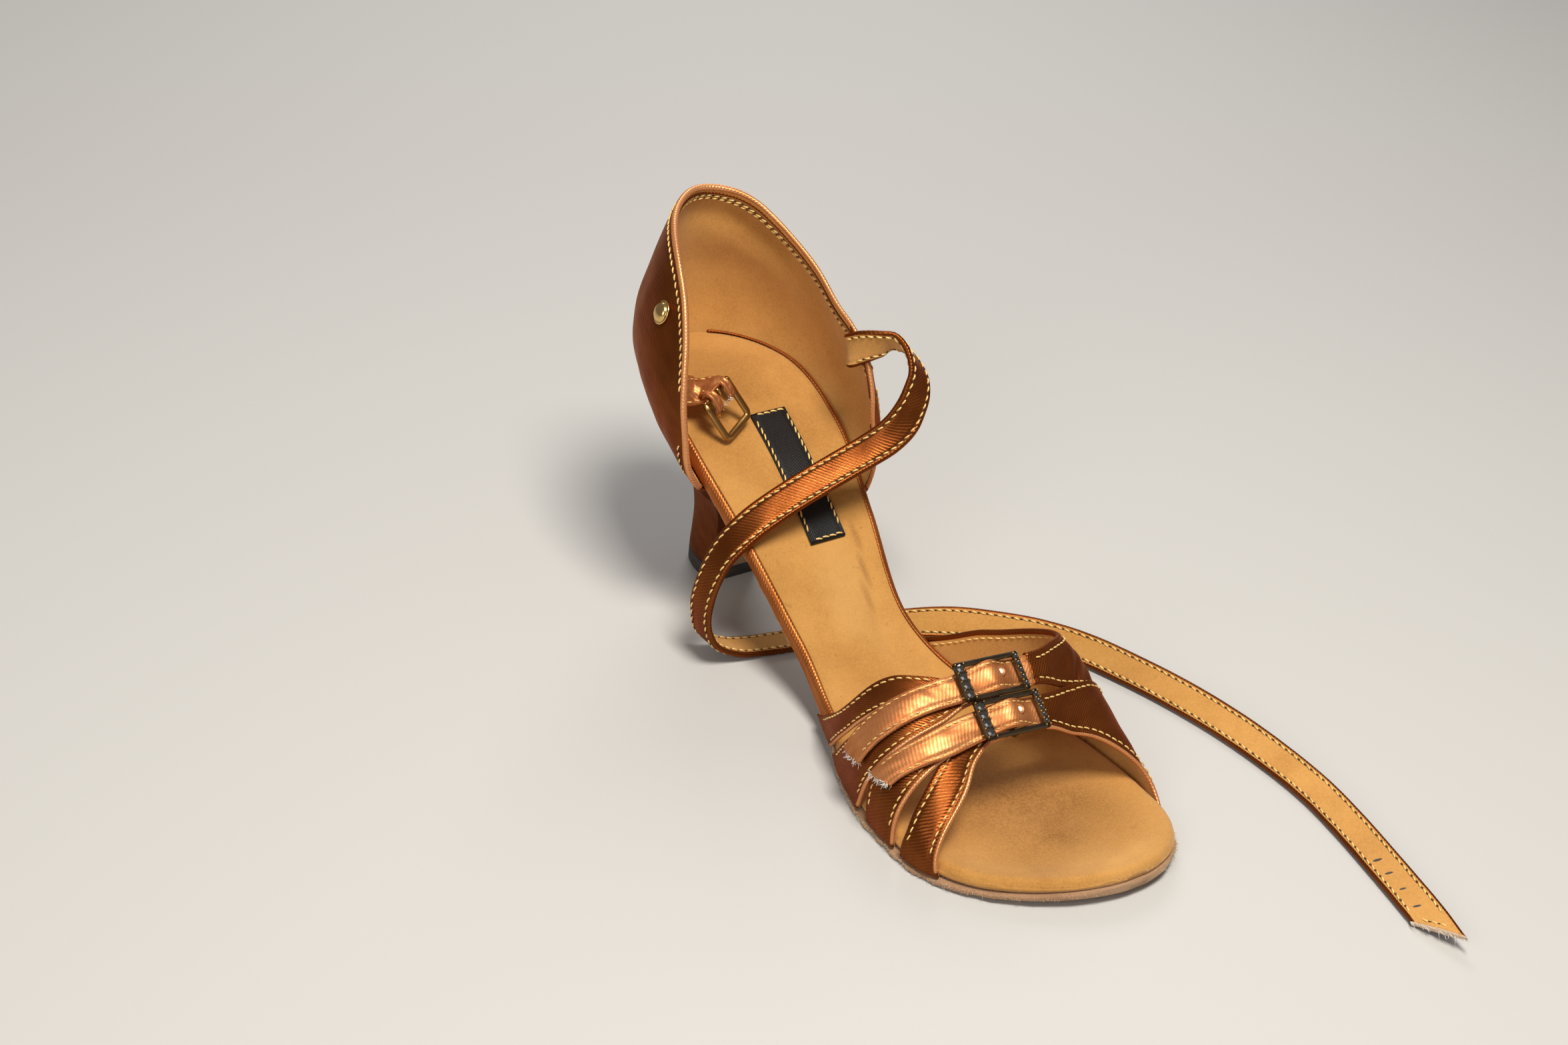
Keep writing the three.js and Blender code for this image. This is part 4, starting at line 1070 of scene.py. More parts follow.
def outline_distance(x, y):
    """Distance of points of the insole from its outline, seen from above."""
    station = cosine_steps(0, LENGTH + float(insole_grow(1)), 700)
    middle, half = plan(station, insole_grow(station / LENGTH))
    sides = [stack(middle + side * half, along(station), 0)[:, :2] for side in (-1, 1)]
    outline = np.concatenate(sides)[:, None]
    flat = np.stack([x.ravel(), y.ravel()], axis=1)
    nearest = [np.linalg.norm(outline - part[None], axis=2).min(axis=0) for part in np.array_split(flat, 40)]
    return np.concatenate(nearest).reshape(x.shape)


def crease(points, wide, x, station):
    """How deep a point lies in a crease that follows a line of points: 1 in its middle, 0 beside it."""
    points = np.asarray(points, float)
    line = np.linspace(0, len(points) - 1, 60)
    steps = np.arange(len(points))
    spots = [(np.interp(t, steps, points[:, 0]), np.interp(t, steps, points[:, 1])) for t in line]
    fade = np.sin(math.pi * (line + 0.4) / (len(points) - 0.2)) ** 0.5
    depths = [f * np.exp(-((x - a) ** 2 + (station - b) ** 2) / wide**2) for f, (a, b) in zip(fade, spots)]
    return np.max(depths, axis=0)


def rim_drop(inside, station):
    """How far the insole's top drops near its edge; the forefoot has a padded rim and a dished middle."""
    fore = smoothstep(station, 118, 158)
    waist = smoothstep(station, 62, 90) * (1 - fore)
    radius = EDGE_ROUND + (RIM_ROUND - EDGE_ROUND) * fore
    over = np.maximum(radius - inside, 0)
    dish = (RIM_DISH * fore + WAIST_DISH * waist) * (1 - hump(inside, 0, RIM_WIDE))
    return radius - np.sqrt(radius**2 - over**2) + dish


def insole():
    """Padded board with its suede sock; its edge is wrapped in satin from the heel to the waist."""
    stations = cosine_steps(END_CLEAR, LENGTH + float(insole_grow(1)) - END_CLEAR, 230)

    def top(station, side):
        middle, half = plan(station, insole_grow(station / LENGTH))
        x = middle + half * side
        inside = outline_distance(x, np.broadcast_to(along(station), x.shape))
        height = insole_top(station) - rim_drop(inside, station)
        for (cx, cs), (rx, rs), depth in DENTS:
            height = height - depth * np.exp(-(((x - cx) / rx) ** 2) - ((station - cs) / rs) ** 2)
        for points, wide, depth in CREASES:
            height = height - depth * crease(points, wide, x, station)
        return height + 0.09 * ripple(x, station, 22, 11) * (1 - side**4)

    def bottom(station, side):
        return below(station, INSOLE_THICK) + 0 * side

    vertices, faces, uv, where = sole_mesh(stations, top, bottom, 65, insole_grow, 0.4)
    skin = [int(edge and station < WRAP_END) for station, edge in where]
    # The wrapped edge takes the lighter satin, with its painted light
    skins = [SOCK, LIT_EDGE_COPPER]
    make("insole_sock", vertices, faces, skins, slot="sock_suede", replaces=("insole",), uv=uv, skin=skin)


def insole_binding():
    """Satin turned over the insole's edge, seen at the waist and round the heel."""
    turn_in, turn_down = 1.5, 2.4
    width = turn_in + turn_down
    for side, name in ((-1, "outer"), (1, "inner")):
        stations = 1.5 + (WRAP_END - 1.5) * np.linspace(0, 1, 170) ** 1.4

        def place(way, across, depth):
            travel = (across + 1) / 2 * width
            inside = np.clip(turn_in - travel, 0, None)
            down = np.clip(travel - turn_in, 0, None)
            angle = smoothstep(travel, turn_in - 1.1, turn_in + 1.1) * math.pi / 2
            (m0, h0), (m1, h1) = plan(way - 0.3), plan(way + 0.3)
            edge0, edge1 = m0 + side * h0, m1 + side * h1
            out = unit(stack(0.6 * side, side * (edge1 - edge0), 0.0))
            middle, half = plan(way)
            lift = 0.3 + depth
            edge = stack(middle + side * half, along(way), insole_top(way) - rim_drop(inside, way) - down)
            reach = lift * np.sin(angle) - inside
            return edge + out * reach[..., None] + stack(0, 0, lift * np.cos(angle))

        # The binding takes the lighter satin, with its painted light
        strap(f"insole_binding_{name}", stations, width, place, 0.5, [LIT_EDGE_COPPER] * 3, middle_count=7)


def outsole():
    end = LENGTH + float(outsole_grow(1)) - END_CLEAR
    stations = cosine_steps(OUTSOLE_START, end, 170)

    def top(station, side):
        return below(station, INSOLE_THICK + GAP) - 0.9 * np.abs(side) ** 16

    def bottom(station, side):
        return below(station, INSOLE_THICK + GAP + OUTSOLE_THICK) + 0.5 * np.abs(side) ** 30

    vertices, faces, uv, _ = sole_mesh(stations, top, bottom, 33, outsole_grow, 0.1, 0.3)
    make("outsole_suede", vertices, faces, [SOLE], slot="sole_suede", replaces=("outsole",), uv=uv)


def outsole_fuzz():
    """Loose fibres along the cut edge of the suede sole."""
    soup = Soup()
    for station in random.uniform(120, LENGTH + 1, FUZZ_COUNT):
        side = random.choice((-1, 1))
        grow = float(outsole_grow(station / LENGTH))
        middle, half = plan(station, grow)
        ahead, wide = plan(station + 0.5, grow)
        tangent = np.array((float(ahead + side * wide - middle - side * half), -0.5, 0))
        out = unit(np.array((-tangent[1], tangent[0], 0)) * side)
        height = float(below(station, INSOLE_THICK + GAP + random.uniform(0.4, OUTSOLE_THICK - 0.6)))
        start = np.array((float(middle + side * half), float(along(station)), height))
        way = unit(out + random.normal(0, 0.7, 3) * (1, 1, 0.4))
        path = start + way * np.linspace(-0.1, random.uniform(0.4, 1.1), 4)[:, None]
        path[:, 2] += random.normal(0, 0.1) * np.linspace(0, 1, 4)
        path[:, 2] = np.maximum(path[:, 2], FUZZ_CLEAR)
        soup.add(*tube_mesh(path, np.linspace(*FUZZ_RADII, 4), 4))
    soup.piece("outsole_fuzz", [CUT_EDGE], slot="sole_suede")


heel_back, heel_breast, heel_width = curves(HEEL)
HEEL_BOTTOM = HEEL_TIP_THICK + GAP
SEAT_GROW = GAP + COUNTER_WALL


def heel_point(down, share, side):
    """A point of the heel's outside: share runs from its back to its breast."""
    seat = END_CLEAR - SEAT_GROW + share * (HEEL["breast"][0] - END_CLEAR + SEAT_GROW)
    middle, half = plan(seat, SEAT_GROW)
    middle = middle + (middle_at(0.1) - middle) * np.minimum(1, down * 3)
    station = heel_back(down) + (heel_breast(down) - heel_back(down)) * share
    top = below(np.maximum(seat, 0), INSOLE_THICK) - GAP
    height = HEEL_BOTTOM + (1 - down) * (top - HEEL_BOTTOM)
    return stack(middle + side * half * heel_width(down), along(station), height)


def ring_solid(name, rings, materials, slot, replaces):
    """Closed solid through rings of points, with flat ends."""
    rings = np.asarray(rings)
    rows, ring = rings.shape[:2]
    around = np.linalg.norm(np.diff(rings[0], axis=0, append=rings[0, :1]), axis=1).cumsum()
    around = np.broadcast_to(np.concatenate([[0.0], around]), (rows, ring + 1))
    faces, uv = quads(travelled(rings.mean(axis=1)), around, run_first=False)
    faces += [face[::-1] for face in end_faces(rows, ring)]
    uv = [(wide, high) for high, wide in uv] + [(0, 0)] * (2 * ring)
    vertices = rings.reshape(-1, 3)
    faces, uv = outward(vertices, faces, uv)
    return make(name, vertices, faces, materials, slot=slot, replaces=replaces, uv=uv)


def heel_ring(down):
    shares = cosine_steps(0, 1, 34) ** 1.3
    return np.concatenate([heel_point(down, shares, -1), heel_point(down, shares[::-1], 1)])


def heel():
    """Covered heel, and the rubber tip under it."""
    levels = np.linspace(0, 1, 46)
    ring_solid("heel_satin", [heel_ring(down) for down in levels], [COPPER], "satin", ("heel",))
    tip = heel_ring(1.0)
    centre = tip.mean(axis=0)
    profile = ((0.985, HEEL_TIP_THICK), (1.0, HEEL_TIP_THICK - 0.3), (1.0, 0.5), (0.97, 0.0))
    rings = []
    for grow, height in profile:
        ring = centre + (tip - centre) * grow
        ring[:, 2] = height
        rings.append(ring)
    ring_solid("heel_tip_rubber", rings, [RUBBER], "tip_rubber", ("heel_tip",))


def flap_edges(down):
    """The breast's outer corner, and the x of the flap's two edges."""
    outer, inner = heel_point(down, 1.0, -1), heel_point(down, 1.0, 1)
    inset = np.minimum(FLAP_INSET, (inner[..., 0] - outer[..., 0]) / 4)
    return outer, outer[..., 0] + inset, inner[..., 0] - inset


def breast_flap():
    """Flap of the sole's suede on the heel's breast."""
    share = np.linspace(0, 1, 60)
    downs = 0.045 + 0.945 * share**1.4

    def place(way, side, depth):
        corner, low, high = flap_edges(way)
        front = FLAP_THICK + FLAP_ROOT * (1 - np.interp(way, downs, share)) ** 6
        y = corner[..., 1] - GAP - depth / FLAP_THICK * front
        return stack(low + (high - low) * (side + 1) / 2, y, corner[..., 2])

    _, low, high = flap_edges(downs)
    strap("breast_flap", downs, high - low, place, FLAP_THICK, [SOLE] * 3, slot="sole_suede")


def sock_label():
    """Plain woven patch, stitched on the sock."""
    ways = np.linspace(-LABEL_LENGTH / 2, LABEL_LENGTH / 2, 70)

    def place(way, side, depth):
        near = LABEL_STATION + way * 0.75
        slope = (below(near, 0) - below(near, 1)) ** -1
        station = LABEL_STATION + way * slope
        x = LABEL_X - way * LABEL_TURN + side * LABEL_WIDTH / 2
        return stack(x, along(station), below(station, -GAP + 0.25 - depth))

    def relief(way, across, inside):
        return 0.12 * ripple(way, across, 16, 21) - 0.22 * hump(inside, 0.9, 0.4)

    strap("label_patch", ways, LABEL_WIDTH, place, LABEL_THICK, [LABEL] * 3, slot="label_cloth",
          replaces=("sock_label",), relief=relief)
    soup = Soup()
    inset = 1 - 2 * LABEL_SEAM / LABEL_WIDTH
    sides = np.linspace(-inset, inset, 24)
    rows = [(ways[2:-2], -inset), (ways[2:-2], inset), (ways[1], sides), (ways[-2], sides)]
    for way, side in rows:
        stitch(soup, *surface_row(place, way, side, LABEL_THICK + 0.03), LABEL_STITCH)
    soup.piece("label_stitches", [THREAD])


# Heel cup
def cup_arcs(near, near_count, middle_count):
    """Places along the heel cup's foot, closer together within some way of its two front edges."""
    first = cosine_steps(ARC_FIRST, ARC_FIRST + near, near_count)
    middle = np.linspace(ARC_FIRST + near + 1, ARC_LAST - near - 1, middle_count)
    last = cosine_steps(ARC_LAST - near, ARC_LAST, near_count)
    return np.concatenate([first, middle, last])


def counter():
    """Wall of the heel cup: satin outside, lining inside."""
    arcs = cup_arcs(12, 22, 110)
    height = cup_height(arcs)

    def place(arc, side, depth):
        return cup_point(arc, (side + 1) / 2, depth)

    def folds(way, across, inside):
        soft = 0.35 * ripple(way, across, 34, 31) + 0.12 * ripple(way, across, 12, 32)
        return soft * smoothstep(inside, 1.0, 8.0) * 0.8

    def lining_folds(way, across, inside):
        down = height[:, None] - across
        inner_wing = smoothstep(way, 78, 100) * (1 - smoothstep(way, 138, 150))
        valley = -0.9 * hump(down, 9, 4) + 0.9 * hump(down, 19, 7)
        waves = 0.2 * np.abs(ripple(way, across, 30, 33)) * smoothstep(inside, 1.0, 9.0)
        return valley * inner_wing - waves

    strap("counter_satin", arcs, height, place, COUNTER_WALL, LINED_SATIN, replaces=("counter",),
          middle_count=44, relief=folds, inner_relief=lining_folds)


def counter_piping():
    """Piping up one front edge, along the topline and down the other, and the turned edge inside it."""
    rise = np.linspace(0.04, 0.97, 14)
    top = cup_arcs(8, 16, 120)
    lines = ((ARC_FIRST, rise), (top, 1.0), (ARC_LAST, rise[::-1]))
    path = rounded(np.concatenate([cup_point(arc, share, COUNTER_WALL / 2) for arc, share in lines]), 2.0)
    radius = PIPING_RADIUS + (INNER_PIPING - PIPING_RADIUS) * smoothstep(path[:, 0], 6, 22)
    # The piping takes the lighter satin, mostly painted highlight
    tube("counter_piping", path, radius, 12, PALE_LIT_COPPER)
    arcs = top[4:-4]
    path = cup_point(arcs, 1 - TURNED_DOWN / cup_height(arcs), ON_FACE)
    tube("counter_turned_edge", rounded(path, 1.0), TURNED_RADIUS, 8, COPPER)


def counter_seams():
    """Seams below the piping, lower on the inner wing, and along the front edges."""
    thread, holes = Soup(), Soup()
    arcs = np.linspace(ARC_FIRST + 4.5, ARC_LAST - 4.5, 300)
    lower = smoothstep(arcs, 0, 25)
    for down, depth, raised, sign in COUNTER_SEAMS:
        rows = [
            (arcs, 1 - (down + lower) / cup_height(arcs), depth - raised * lower),
            (ARC_FIRST + down, np.linspace(0.14, 0.72, 60), depth),
            (ARC_LAST - down - 1.5, np.linspace(0.14, 0.86, 60), depth),
        ]
        for row in rows:
            path, normal = surface_row(cup_point, *row)
            stitch(thread, path, normal * sign, COUNTER_STITCH, holes, sign)
    thread.piece("counter_stitches", [THREAD])
    holes.piece("counter_hole_shade", [HOLE_SHADE])


def rounded(path, reach):
    """Evenly spaced copy of a path with its corners softened over about reach millimetres."""
    path = np.asarray(path, float)
    way = travelled(path)
    step = 0.5
    fine = resampled(np.linspace(0, way[-1], int(way[-1] / step)), way, path)
    count = max(1, int(reach / step))
    padded = np.concatenate([np.repeat(fine[:1], count, 0), fine, np.repeat(fine[-1:], count, 0)])
    kernel = np.ones(2 * count + 1) / (2 * count + 1)
    soft = np.stack([np.convolve(padded[:, k], kernel, "valid") for k in range(3)], axis=1)
    soft[0], soft[-1] = fine[0], fine[-1]
    return soft[::2]


def counter_stud():
    """Domed stud with a rim, on the outer wing."""
    seat = cup_point(STUD_ARC, STUD_SHARE, COUNTER_WALL + 0.1)
    normal = unit(seat - cup_point(STUD_ARC, STUD_SHARE, 0))
    run = unit(np.cross((0, 0, 1.0), normal))
    axes = (seat, run, np.cross(normal, run), normal)
    wide, foot = STUD_RADIUS, 0.45
    profile = [(0, 0), (wide, 0), (wide, 0.3), (wide * 0.93, 0.5), (wide * 0.84, 0.4)]
    for angle in np.linspace(0, 1.5, 10):
        profile.append((wide * 0.8 * math.cos(angle), foot + STUD_DOME * math.sin(angle)))
    profile.append((0, foot + STUD_DOME))
    vertices, faces = turned(profile, 32)
    vertices = placed(vertices, *axes)
    make("stud_dome", vertices, faces, [GOLD], slot="gold_metal", replaces=("counter_stud",))


# Vamp
def vamp_place(edges, lift):
    """Place function of a strap that lies on the forefoot's form between two edges."""
    rear, front = curves(edges)

    def place(arch, side, depth):
        arch, side, depth = floats(arch, side, depth)
        station = rear(arch) + (front(arch) - rear(arch)) * (side + 1) / 2
        return on_vamp(station, arch, lift(arch, station) + depth)

    return place


def vamp_width(place, ways):
    rows = place(ways[:, None], np.linspace(-1, 1, 9), 0.0)
    return np.linalg.norm(np.diff(rows, axis=1), axis=2).sum(axis=1)


def edge_row(place, ways, width, inset, sign, depth):
    """A row at a fixed distance from one edge of a strap."""
    return surface_row(place, ways, sign * (1 - 2 * inset / np.maximum(width, 4 * inset)), depth)


def rim_row(place, ways, inset, sign, depth):
    """A row at a fixed distance from an edge that runs slantwise over the strap."""
    rim, normal = surface_row(place, ways, float(sign), depth)
    inward = place(ways, 0.97 * sign, depth) - rim
    inward = square_to(square_to(inward, unit(np.gradient(rim, axis=0))), normal)
    return rim + unit(inward) * inset, normal


def fan_lift(layer):
    """Height of a fan strap over the form, by its layer where the straps cross."""

    def lift(arch, _):
        return layer * STRAP_LIFT * smoothstep(arch, 0, 0.12) * (1 - smoothstep(arch, 0.36, 0.44))

    return lift


def groove(way, across, inside):
    """Stitch lines pull the satin in, and the cloth ripples gently between them."""
    pull = 0.2 * hump(inside, SEAM_INSET, 0.45) * (0.75 + 0.25 * np.cos(2 * math.pi * way / STITCH_PITCH))
    return 0.06 * ripple(way, across, 9, 41) - pull


FAN_NAMES = ("rear", "second", "third", "front")
PIN_LOOP, PIN_LOOP_GROW, PIN_LOOP_HALF = 1.55, 1.4, 3.2


def vamp_lateral():
    """The fan of four straps on the outer side, each with its seams and piping."""
    pieces, thread, piping = [], Soup(), Soup()
    for number, (name, edges) in enumerate(zip(FAN_NAMES, FAN)):
        place = vamp_place(edges, fan_lift(3 - number))
        ways = np.linspace(edges["arch"][0], edges["arch"][-1], 90)
        width = vamp_width(place, ways)
        piece = strap(f"vamp_strap_{name}", ways, width, place, STRAP_WALL, LINED_SATIN,
                      crown=0.25, relief=groove)
        pieces.append(piece)
        sewn = (ways > 0.03) & (ways < 0.36)
        for sign in (-1, 1):
            stitch(thread, *edge_row(place, ways[sewn], width[sewn], SEAM_INSET, sign, STRAP_WALL + 0.05))
        path, normal = edge_row(place, ways[2:], width[2:], 0.3, 1, STRAP_WALL * 0.75)
        piping.add(*tube_mesh(path, 0.7 if number else 0.55, 8, normal))
    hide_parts("vamp_lateral")
    thread.piece("vamp_lateral_stitches", [THREAD])
    # The piping takes the lighter satin, mostly painted highlight
    piping.piece("vamp_lateral_piping", [PALE_LIT_COPPER], slot="satin")


def pin_loops():
    """Loops of the two buckle tabs round the pins of the vamp buckles."""
    rounds = [(math.cos(angle), math.sin(angle)) for angle in np.linspace(0, 2 * math.pi, 28)]
    layers = []
    for radius in (PIN_LOOP, PIN_LOOP * PIN_LOOP_GROW):
        for x, z in rounds:
            layers += [(radius * x, y, PIN_LIFT + radius * z) for y in (-PIN_LOOP_HALF, PIN_LOOP_HALF)]
    n = 2 * len(rounds)
    faces = []
    for a in range(0, n - 2, 2):
        b = a + 2
        faces.append([a, b, b + 1, a + 1])
        faces.append([n + a, n + a + 1, n + b + 1, n + b])
        faces.append([a, n + a, n + b, b])
        faces.append([a + 1, b + 1, n + b + 1, n + a + 1])
    loops = Soup()
    for buckle in INNER_BUCKLES:
        loops.add(placed(np.array(layers), *buckle_place(buckle)), faces)
    loops.piece("vamp_pin_loops", [COPPER], slot="satin")


def buckle_place(station):
    """Middle of a vamp buckle and its three directions: along the strap, across it and upwards."""
    middle = arch_point(station, VAMP_ARCH)
    forward = arch_point(station + 0.5, VAMP_ARCH) - arch_point(station - 0.5, VAMP_ARCH)
    over = arch_point(station, VAMP_ARCH + 0.03) - arch_point(station, VAMP_ARCH - 0.03)
    normal = unit(np.cross(forward, over))
    level = unit(square_to(over, normal))
    run = level * math.cos(VAMP_TURN) - np.cross(normal, level) * math.sin(VAMP_TURN)
    return middle, run, np.cross(normal, run), normal


def inner_lift(layer, buckle):
    """Height of an inner strap over the form: raised as a tongue, with a hump over its buckle's bar."""
    middle, run, _, _ = buckle_place(buckle)

    def lift(arch, station):
        seam = layer * (STRAP_LIFT + 0.2) * smoothstep(arch, 0.62, 0.7)
        raised = TONGUE_LIFT * (1 - smoothstep(arch, 0.6, 0.72))
        reach = np.abs((arch_point(station, arch) - middle) @ run) / HUMP_REACH
        return seam + raised + (TONGUE_HUMP - TONGUE_LIFT) * (1 - smoothstep(reach, 0, 1))

    return lift


TONGUE_FROM, TONGUE_GROW = 0.60, 0.6


def widened(edges, grow):
    """The satin of a tongue swells a little past its CAD edges."""
    swell = grow * (1 - smoothstep(edges["arch"], 0.7, 0.8))
    return {**edges, "rear": edges["rear"] - swell, "front": edges["front"] + swell}


PANEL_STEPS = ((1.0, 0.81, 40), (0.805, 0.73, 60), (0.725, TONGUE_FROM, 30))
# Rims of the two panels: edge, softening, radius and sides
PANEL_RIMS = ((-1, 1.5, 0.9, 10), (1, 1.0, 0.62, 8))
EYELET_ARCH, EYELET_SIDE = 0.505, -0.15
EYELET = [(0, 0.02), (0.95, 0.02), (1.15, 0.16), (1.4, 0.16), (1.6, -0.1), (0, -0.1)]
EYELET_CORE = [(0, 0.03), (0.9, 0.03), (0.7, 0.2), (0.3, 0.27), (0, 0.28)]


def inner_panel(number, name, place, thread, rim):
    """Lined panel of an inner strap, with its seams and its rolled or piped rim."""
    ways = np.concatenate([np.linspace(*part) for part in PANEL_STEPS])

    def creased(way, across, inside):
        return 0.16 * ripple(way, across, 14, 51 + number) + groove(way, across, inside)

    piece = strap(f"vamp_panel_{name}", ways, vamp_width(place, ways), place, TONGUE_WALL, LINED_SATIN,
                  crown=0.3, relief=creased, middle_count=27)
    rows = np.interp(np.linspace(0, 1, 260), np.linspace(0, 1, len(ways)), ways)[8:-4]
    for sign in (-1, 1):
        stitch(thread, *rim_row(place, rows, SEAM_INSET, sign, TONGUE_WALL + 0.2))
    edge, soften, radius, sides = PANEL_RIMS[number]
    path, _ = rim_row(place, ways, 0.2, edge, TONGUE_WALL / 2)
    rim.add(*tube_mesh(rounded(path, soften), radius, sides))
    if number == 0:
        path, normal = rim_row(place, rows, SEAM_INSET, edge, -ON_FACE)
        stitch(thread, path, -normal)
    return piece


def inner_tongue(number, name, place, last, thread):
    """Crinkled tongue of an inner strap, with its seams and its frayed end."""
    ways = np.linspace(TONGUE_FROM, last, 130)
    width = vamp_width(place, ways)

    def crinkled(way, across, inside):
        fine = 0.06 * ripple(way, across, 4.5, 61 + number)
        broad = 0.12 * ripple(way, across * 0.4, 11, 63 + number)
        return fine + broad - 0.15 * hump(inside, 1.5, 0.4)

    # The tongue's face takes the lighter crushed satin, mostly painted highlight
    strap(f"vamp_tongue_{name}", ways, width, place, TONGUE_WALL, [CRUSHED_LIT, LINING, CUT_EDGE],
          crown=0.35, relief=crinkled)
    for sign in (-1, 1):
        row = edge_row(place, ways[4:-6], width[4:-6], 1.3, sign, TONGUE_WALL + 0.15)
        stitch(thread, *row, TONGUE_STITCH)
    end = place(ways[-1], np.linspace(-0.95, 0.95, 24), np.linspace(0.2, 1.0, 24) % 1.0 + 0.1)
    out = unit(place(ways[-1], 0.0, 0.5) - place(ways[-4], 0.0, 0.5))
    fray(f"tongue_fray_{name}", end, out, 1.6, 90)


def tongue_eyelet(place, eyelets, cores):
    seat, up = surface_row(place, EYELET_ARCH, EYELET_SIDE, TONGUE_WALL + 0.32)
    side = unit(np.cross(up, (0, 1.0, 0)))
    axes = (seat, side, np.cross(up, side), up)
    eyelets.add_turned(EYELET, 20, axes)
    cores.add_turned(EYELET_CORE, 16, axes)


def vamp_medial():
    """The two inner straps, each a panel that ends in a tongue with an eyelet."""
    thread, piping, rolled, eyelets, cores = (Soup() for _ in range(5))
    for number, name in enumerate(("rear", "front")):
        edges = INNER_STRAPS[number]
        place = vamp_place(widened(edges, TONGUE_GROW), inner_lift(number, INNER_BUCKLES[number]))
        inner_panel(number, name, place, thread, (rolled, piping)[number])
        inner_tongue(number, name, place, edges["arch"][-1], thread)
        tongue_eyelet(place, eyelets, cores)
    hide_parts("vamp_medial")
    thread.piece("vamp_medial_stitches", [THREAD])
    # The piping takes the lighter satin, mostly painted highlight
    piping.piece("vamp_medial_piping", [PALE_LIT_COPPER], slot="satin")
    rolled.piece("vamp_medial_rim", [COPPER], slot="satin")
    eyelets.piece("tongue_eyelets", [CRUSHED_LIT], slot="satin")
    cores.piece("tongue_cores", [FLUFF])


# Rows of stones: place along the buckle, reach across it, count and radius
STONE_ROWS = ((-9.2, 3.9, 4, 1.35), (10.0, 4.2, 5, 0.62))
STONE_BASE, STONE_SINK = VAMP_LIFT + VAMP_BAR / 2, 0.1
GRAIN_RADIUS, GRAIN_HEIGHT, GRAIN_REACH = 0.36, 0.4, 5.2
PIN_RADIUS, POST_OVER, BAR_BEVEL = 0.6, 1.2, 0.4
WIDE_BAR, NARROW_BAR, LONG_BAR = 3.5, 1.9, 1.5
GRAIN_ROWS = ((-10.6, 5), (-7.8, 5), (9.3, 6), (10.7, 6))


def buckle_metal(axes):
    """Frame of a vamp buckle, with posts that carry its pin."""
    side, end = (VAMP_ACROSS - LONG_BAR) / 2, VAMP_RUN / 2
    post = VAMP_LIFT - PIN_LIFT + POST_OVER
    bars = [
        ((WIDE_BAR, VAMP_ACROSS, VAMP_BAR), (WIDE_BAR / 2 - end, 0, VAMP_LIFT)),
        ((NARROW_BAR, VAMP_ACROSS, VAMP_BAR), (end - NARROW_BAR / 2, 0, VAMP_LIFT)),
    ]
    for y in (-side, side):
        bars.append(((VAMP_RUN, LONG_BAR, VAMP_BAR), (0, y, VAMP_LIFT)))
        bars.append(((VAMP_BAR, LONG_BAR, post), (0, y, (VAMP_LIFT + PIN_LIFT) / 2)))
    metal = Soup()
    for size, at in bars:
        vertices, faces = block(size, np.array(at, float), BAR_BEVEL)
        metal.add(placed(vertices, *axes), faces)
    pin = np.array([(0, y, PIN_LIFT) for y in np.linspace(-side, side, 5)])
    metal.add(*tube_mesh(placed(pin, *axes), PIN_RADIUS, 10))
    return metal


def buckle_grains(axes):
    """Grains of metal that hold the stones."""
    angles = np.linspace(0, 1.4, 4)
    dome = [(GRAIN_RADIUS * math.cos(angle), GRAIN_HEIGHT * math.sin(angle)) for angle in angles]
    profile = [(0, -STONE_SINK), *dome, (0, GRAIN_HEIGHT)]
    grains = Soup()
    for x, count in GRAIN_ROWS:
        spots = [(x, y, STONE_BASE) for y in np.linspace(-GRAIN_REACH, GRAIN_REACH, count)]
        grains.add_turned(profile, 8, axes, spots)
    return grains


def buckle_stones(axes):
    stones = Soup()
    for x, reach, count, size in STONE_ROWS:
        top = 0.45 * size
        gem = [(0, -STONE_SINK), (size, -STONE_SINK), (size, 0.1), (size * 0.62, top), (0, top)]
        stones.add_turned(gem, 8, axes, [(x, y, STONE_BASE) for y in np.linspace(-reach, reach, count)])
    return stones


def vamp_buckles():
    """Two centre-bar buckles with a row of dark stones on each end."""
    for station, name in zip(INNER_BUCKLES, ("rear", "front")):
        axes, title = buckle_place(station), f"vamp_buckle_{name}"
        metal, grains, stones = buckle_metal(axes), buckle_grains(axes), buckle_stones(axes)
        metal.piece(f"{title}_metal", [DARK_METAL], slot="dark_metal", replaces=(title,), smooth=False)
        grains.piece(f"{title}_grains", [BRONZE], slot="dark_metal")
        stones.piece(f"{title}_stones", [STONE], slot="dark_metal", smooth=False)


# Ankle strap and its buckle
def root_route():
    """The strap's root, sewn in between the heel cup's satin and its lining."""
    rows = []
    for (arc, share), depth in zip(ANKLE_ROOT, ROOT_DEPTHS):
        way = cup_point(arc, share + 0.05, depth) - cup_point(arc, share - 0.05, depth)
        rows.append((cup_point(arc, share, depth), unit(way)))
    return rows


def floor_route():
    """The strap's run on the floor, resting on its lower edge at a tilt."""
    x, y, tilt = (FLOOR_RUN[name] for name in ("x", "y", "tilt"))
    rows = []
    for i in range(len(x)):
        before, after = max(0, i - 1), min(len(x) - 1, i + 1)
        side = unit((y[before] - y[after], x[after] - x[before], 0))
        angle = math.radians(tilt[i])
        across = side * math.cos(angle) + np.array((0, 0, math.sin(angle)))
        base = ANKLE_THICK * 0.55 * math.cos(angle) + FLOOR_CLEAR
        rows.append((np.array((x[i], y[i], base)) + across * ANKLE_WIDTH / 2, across))
    return rows


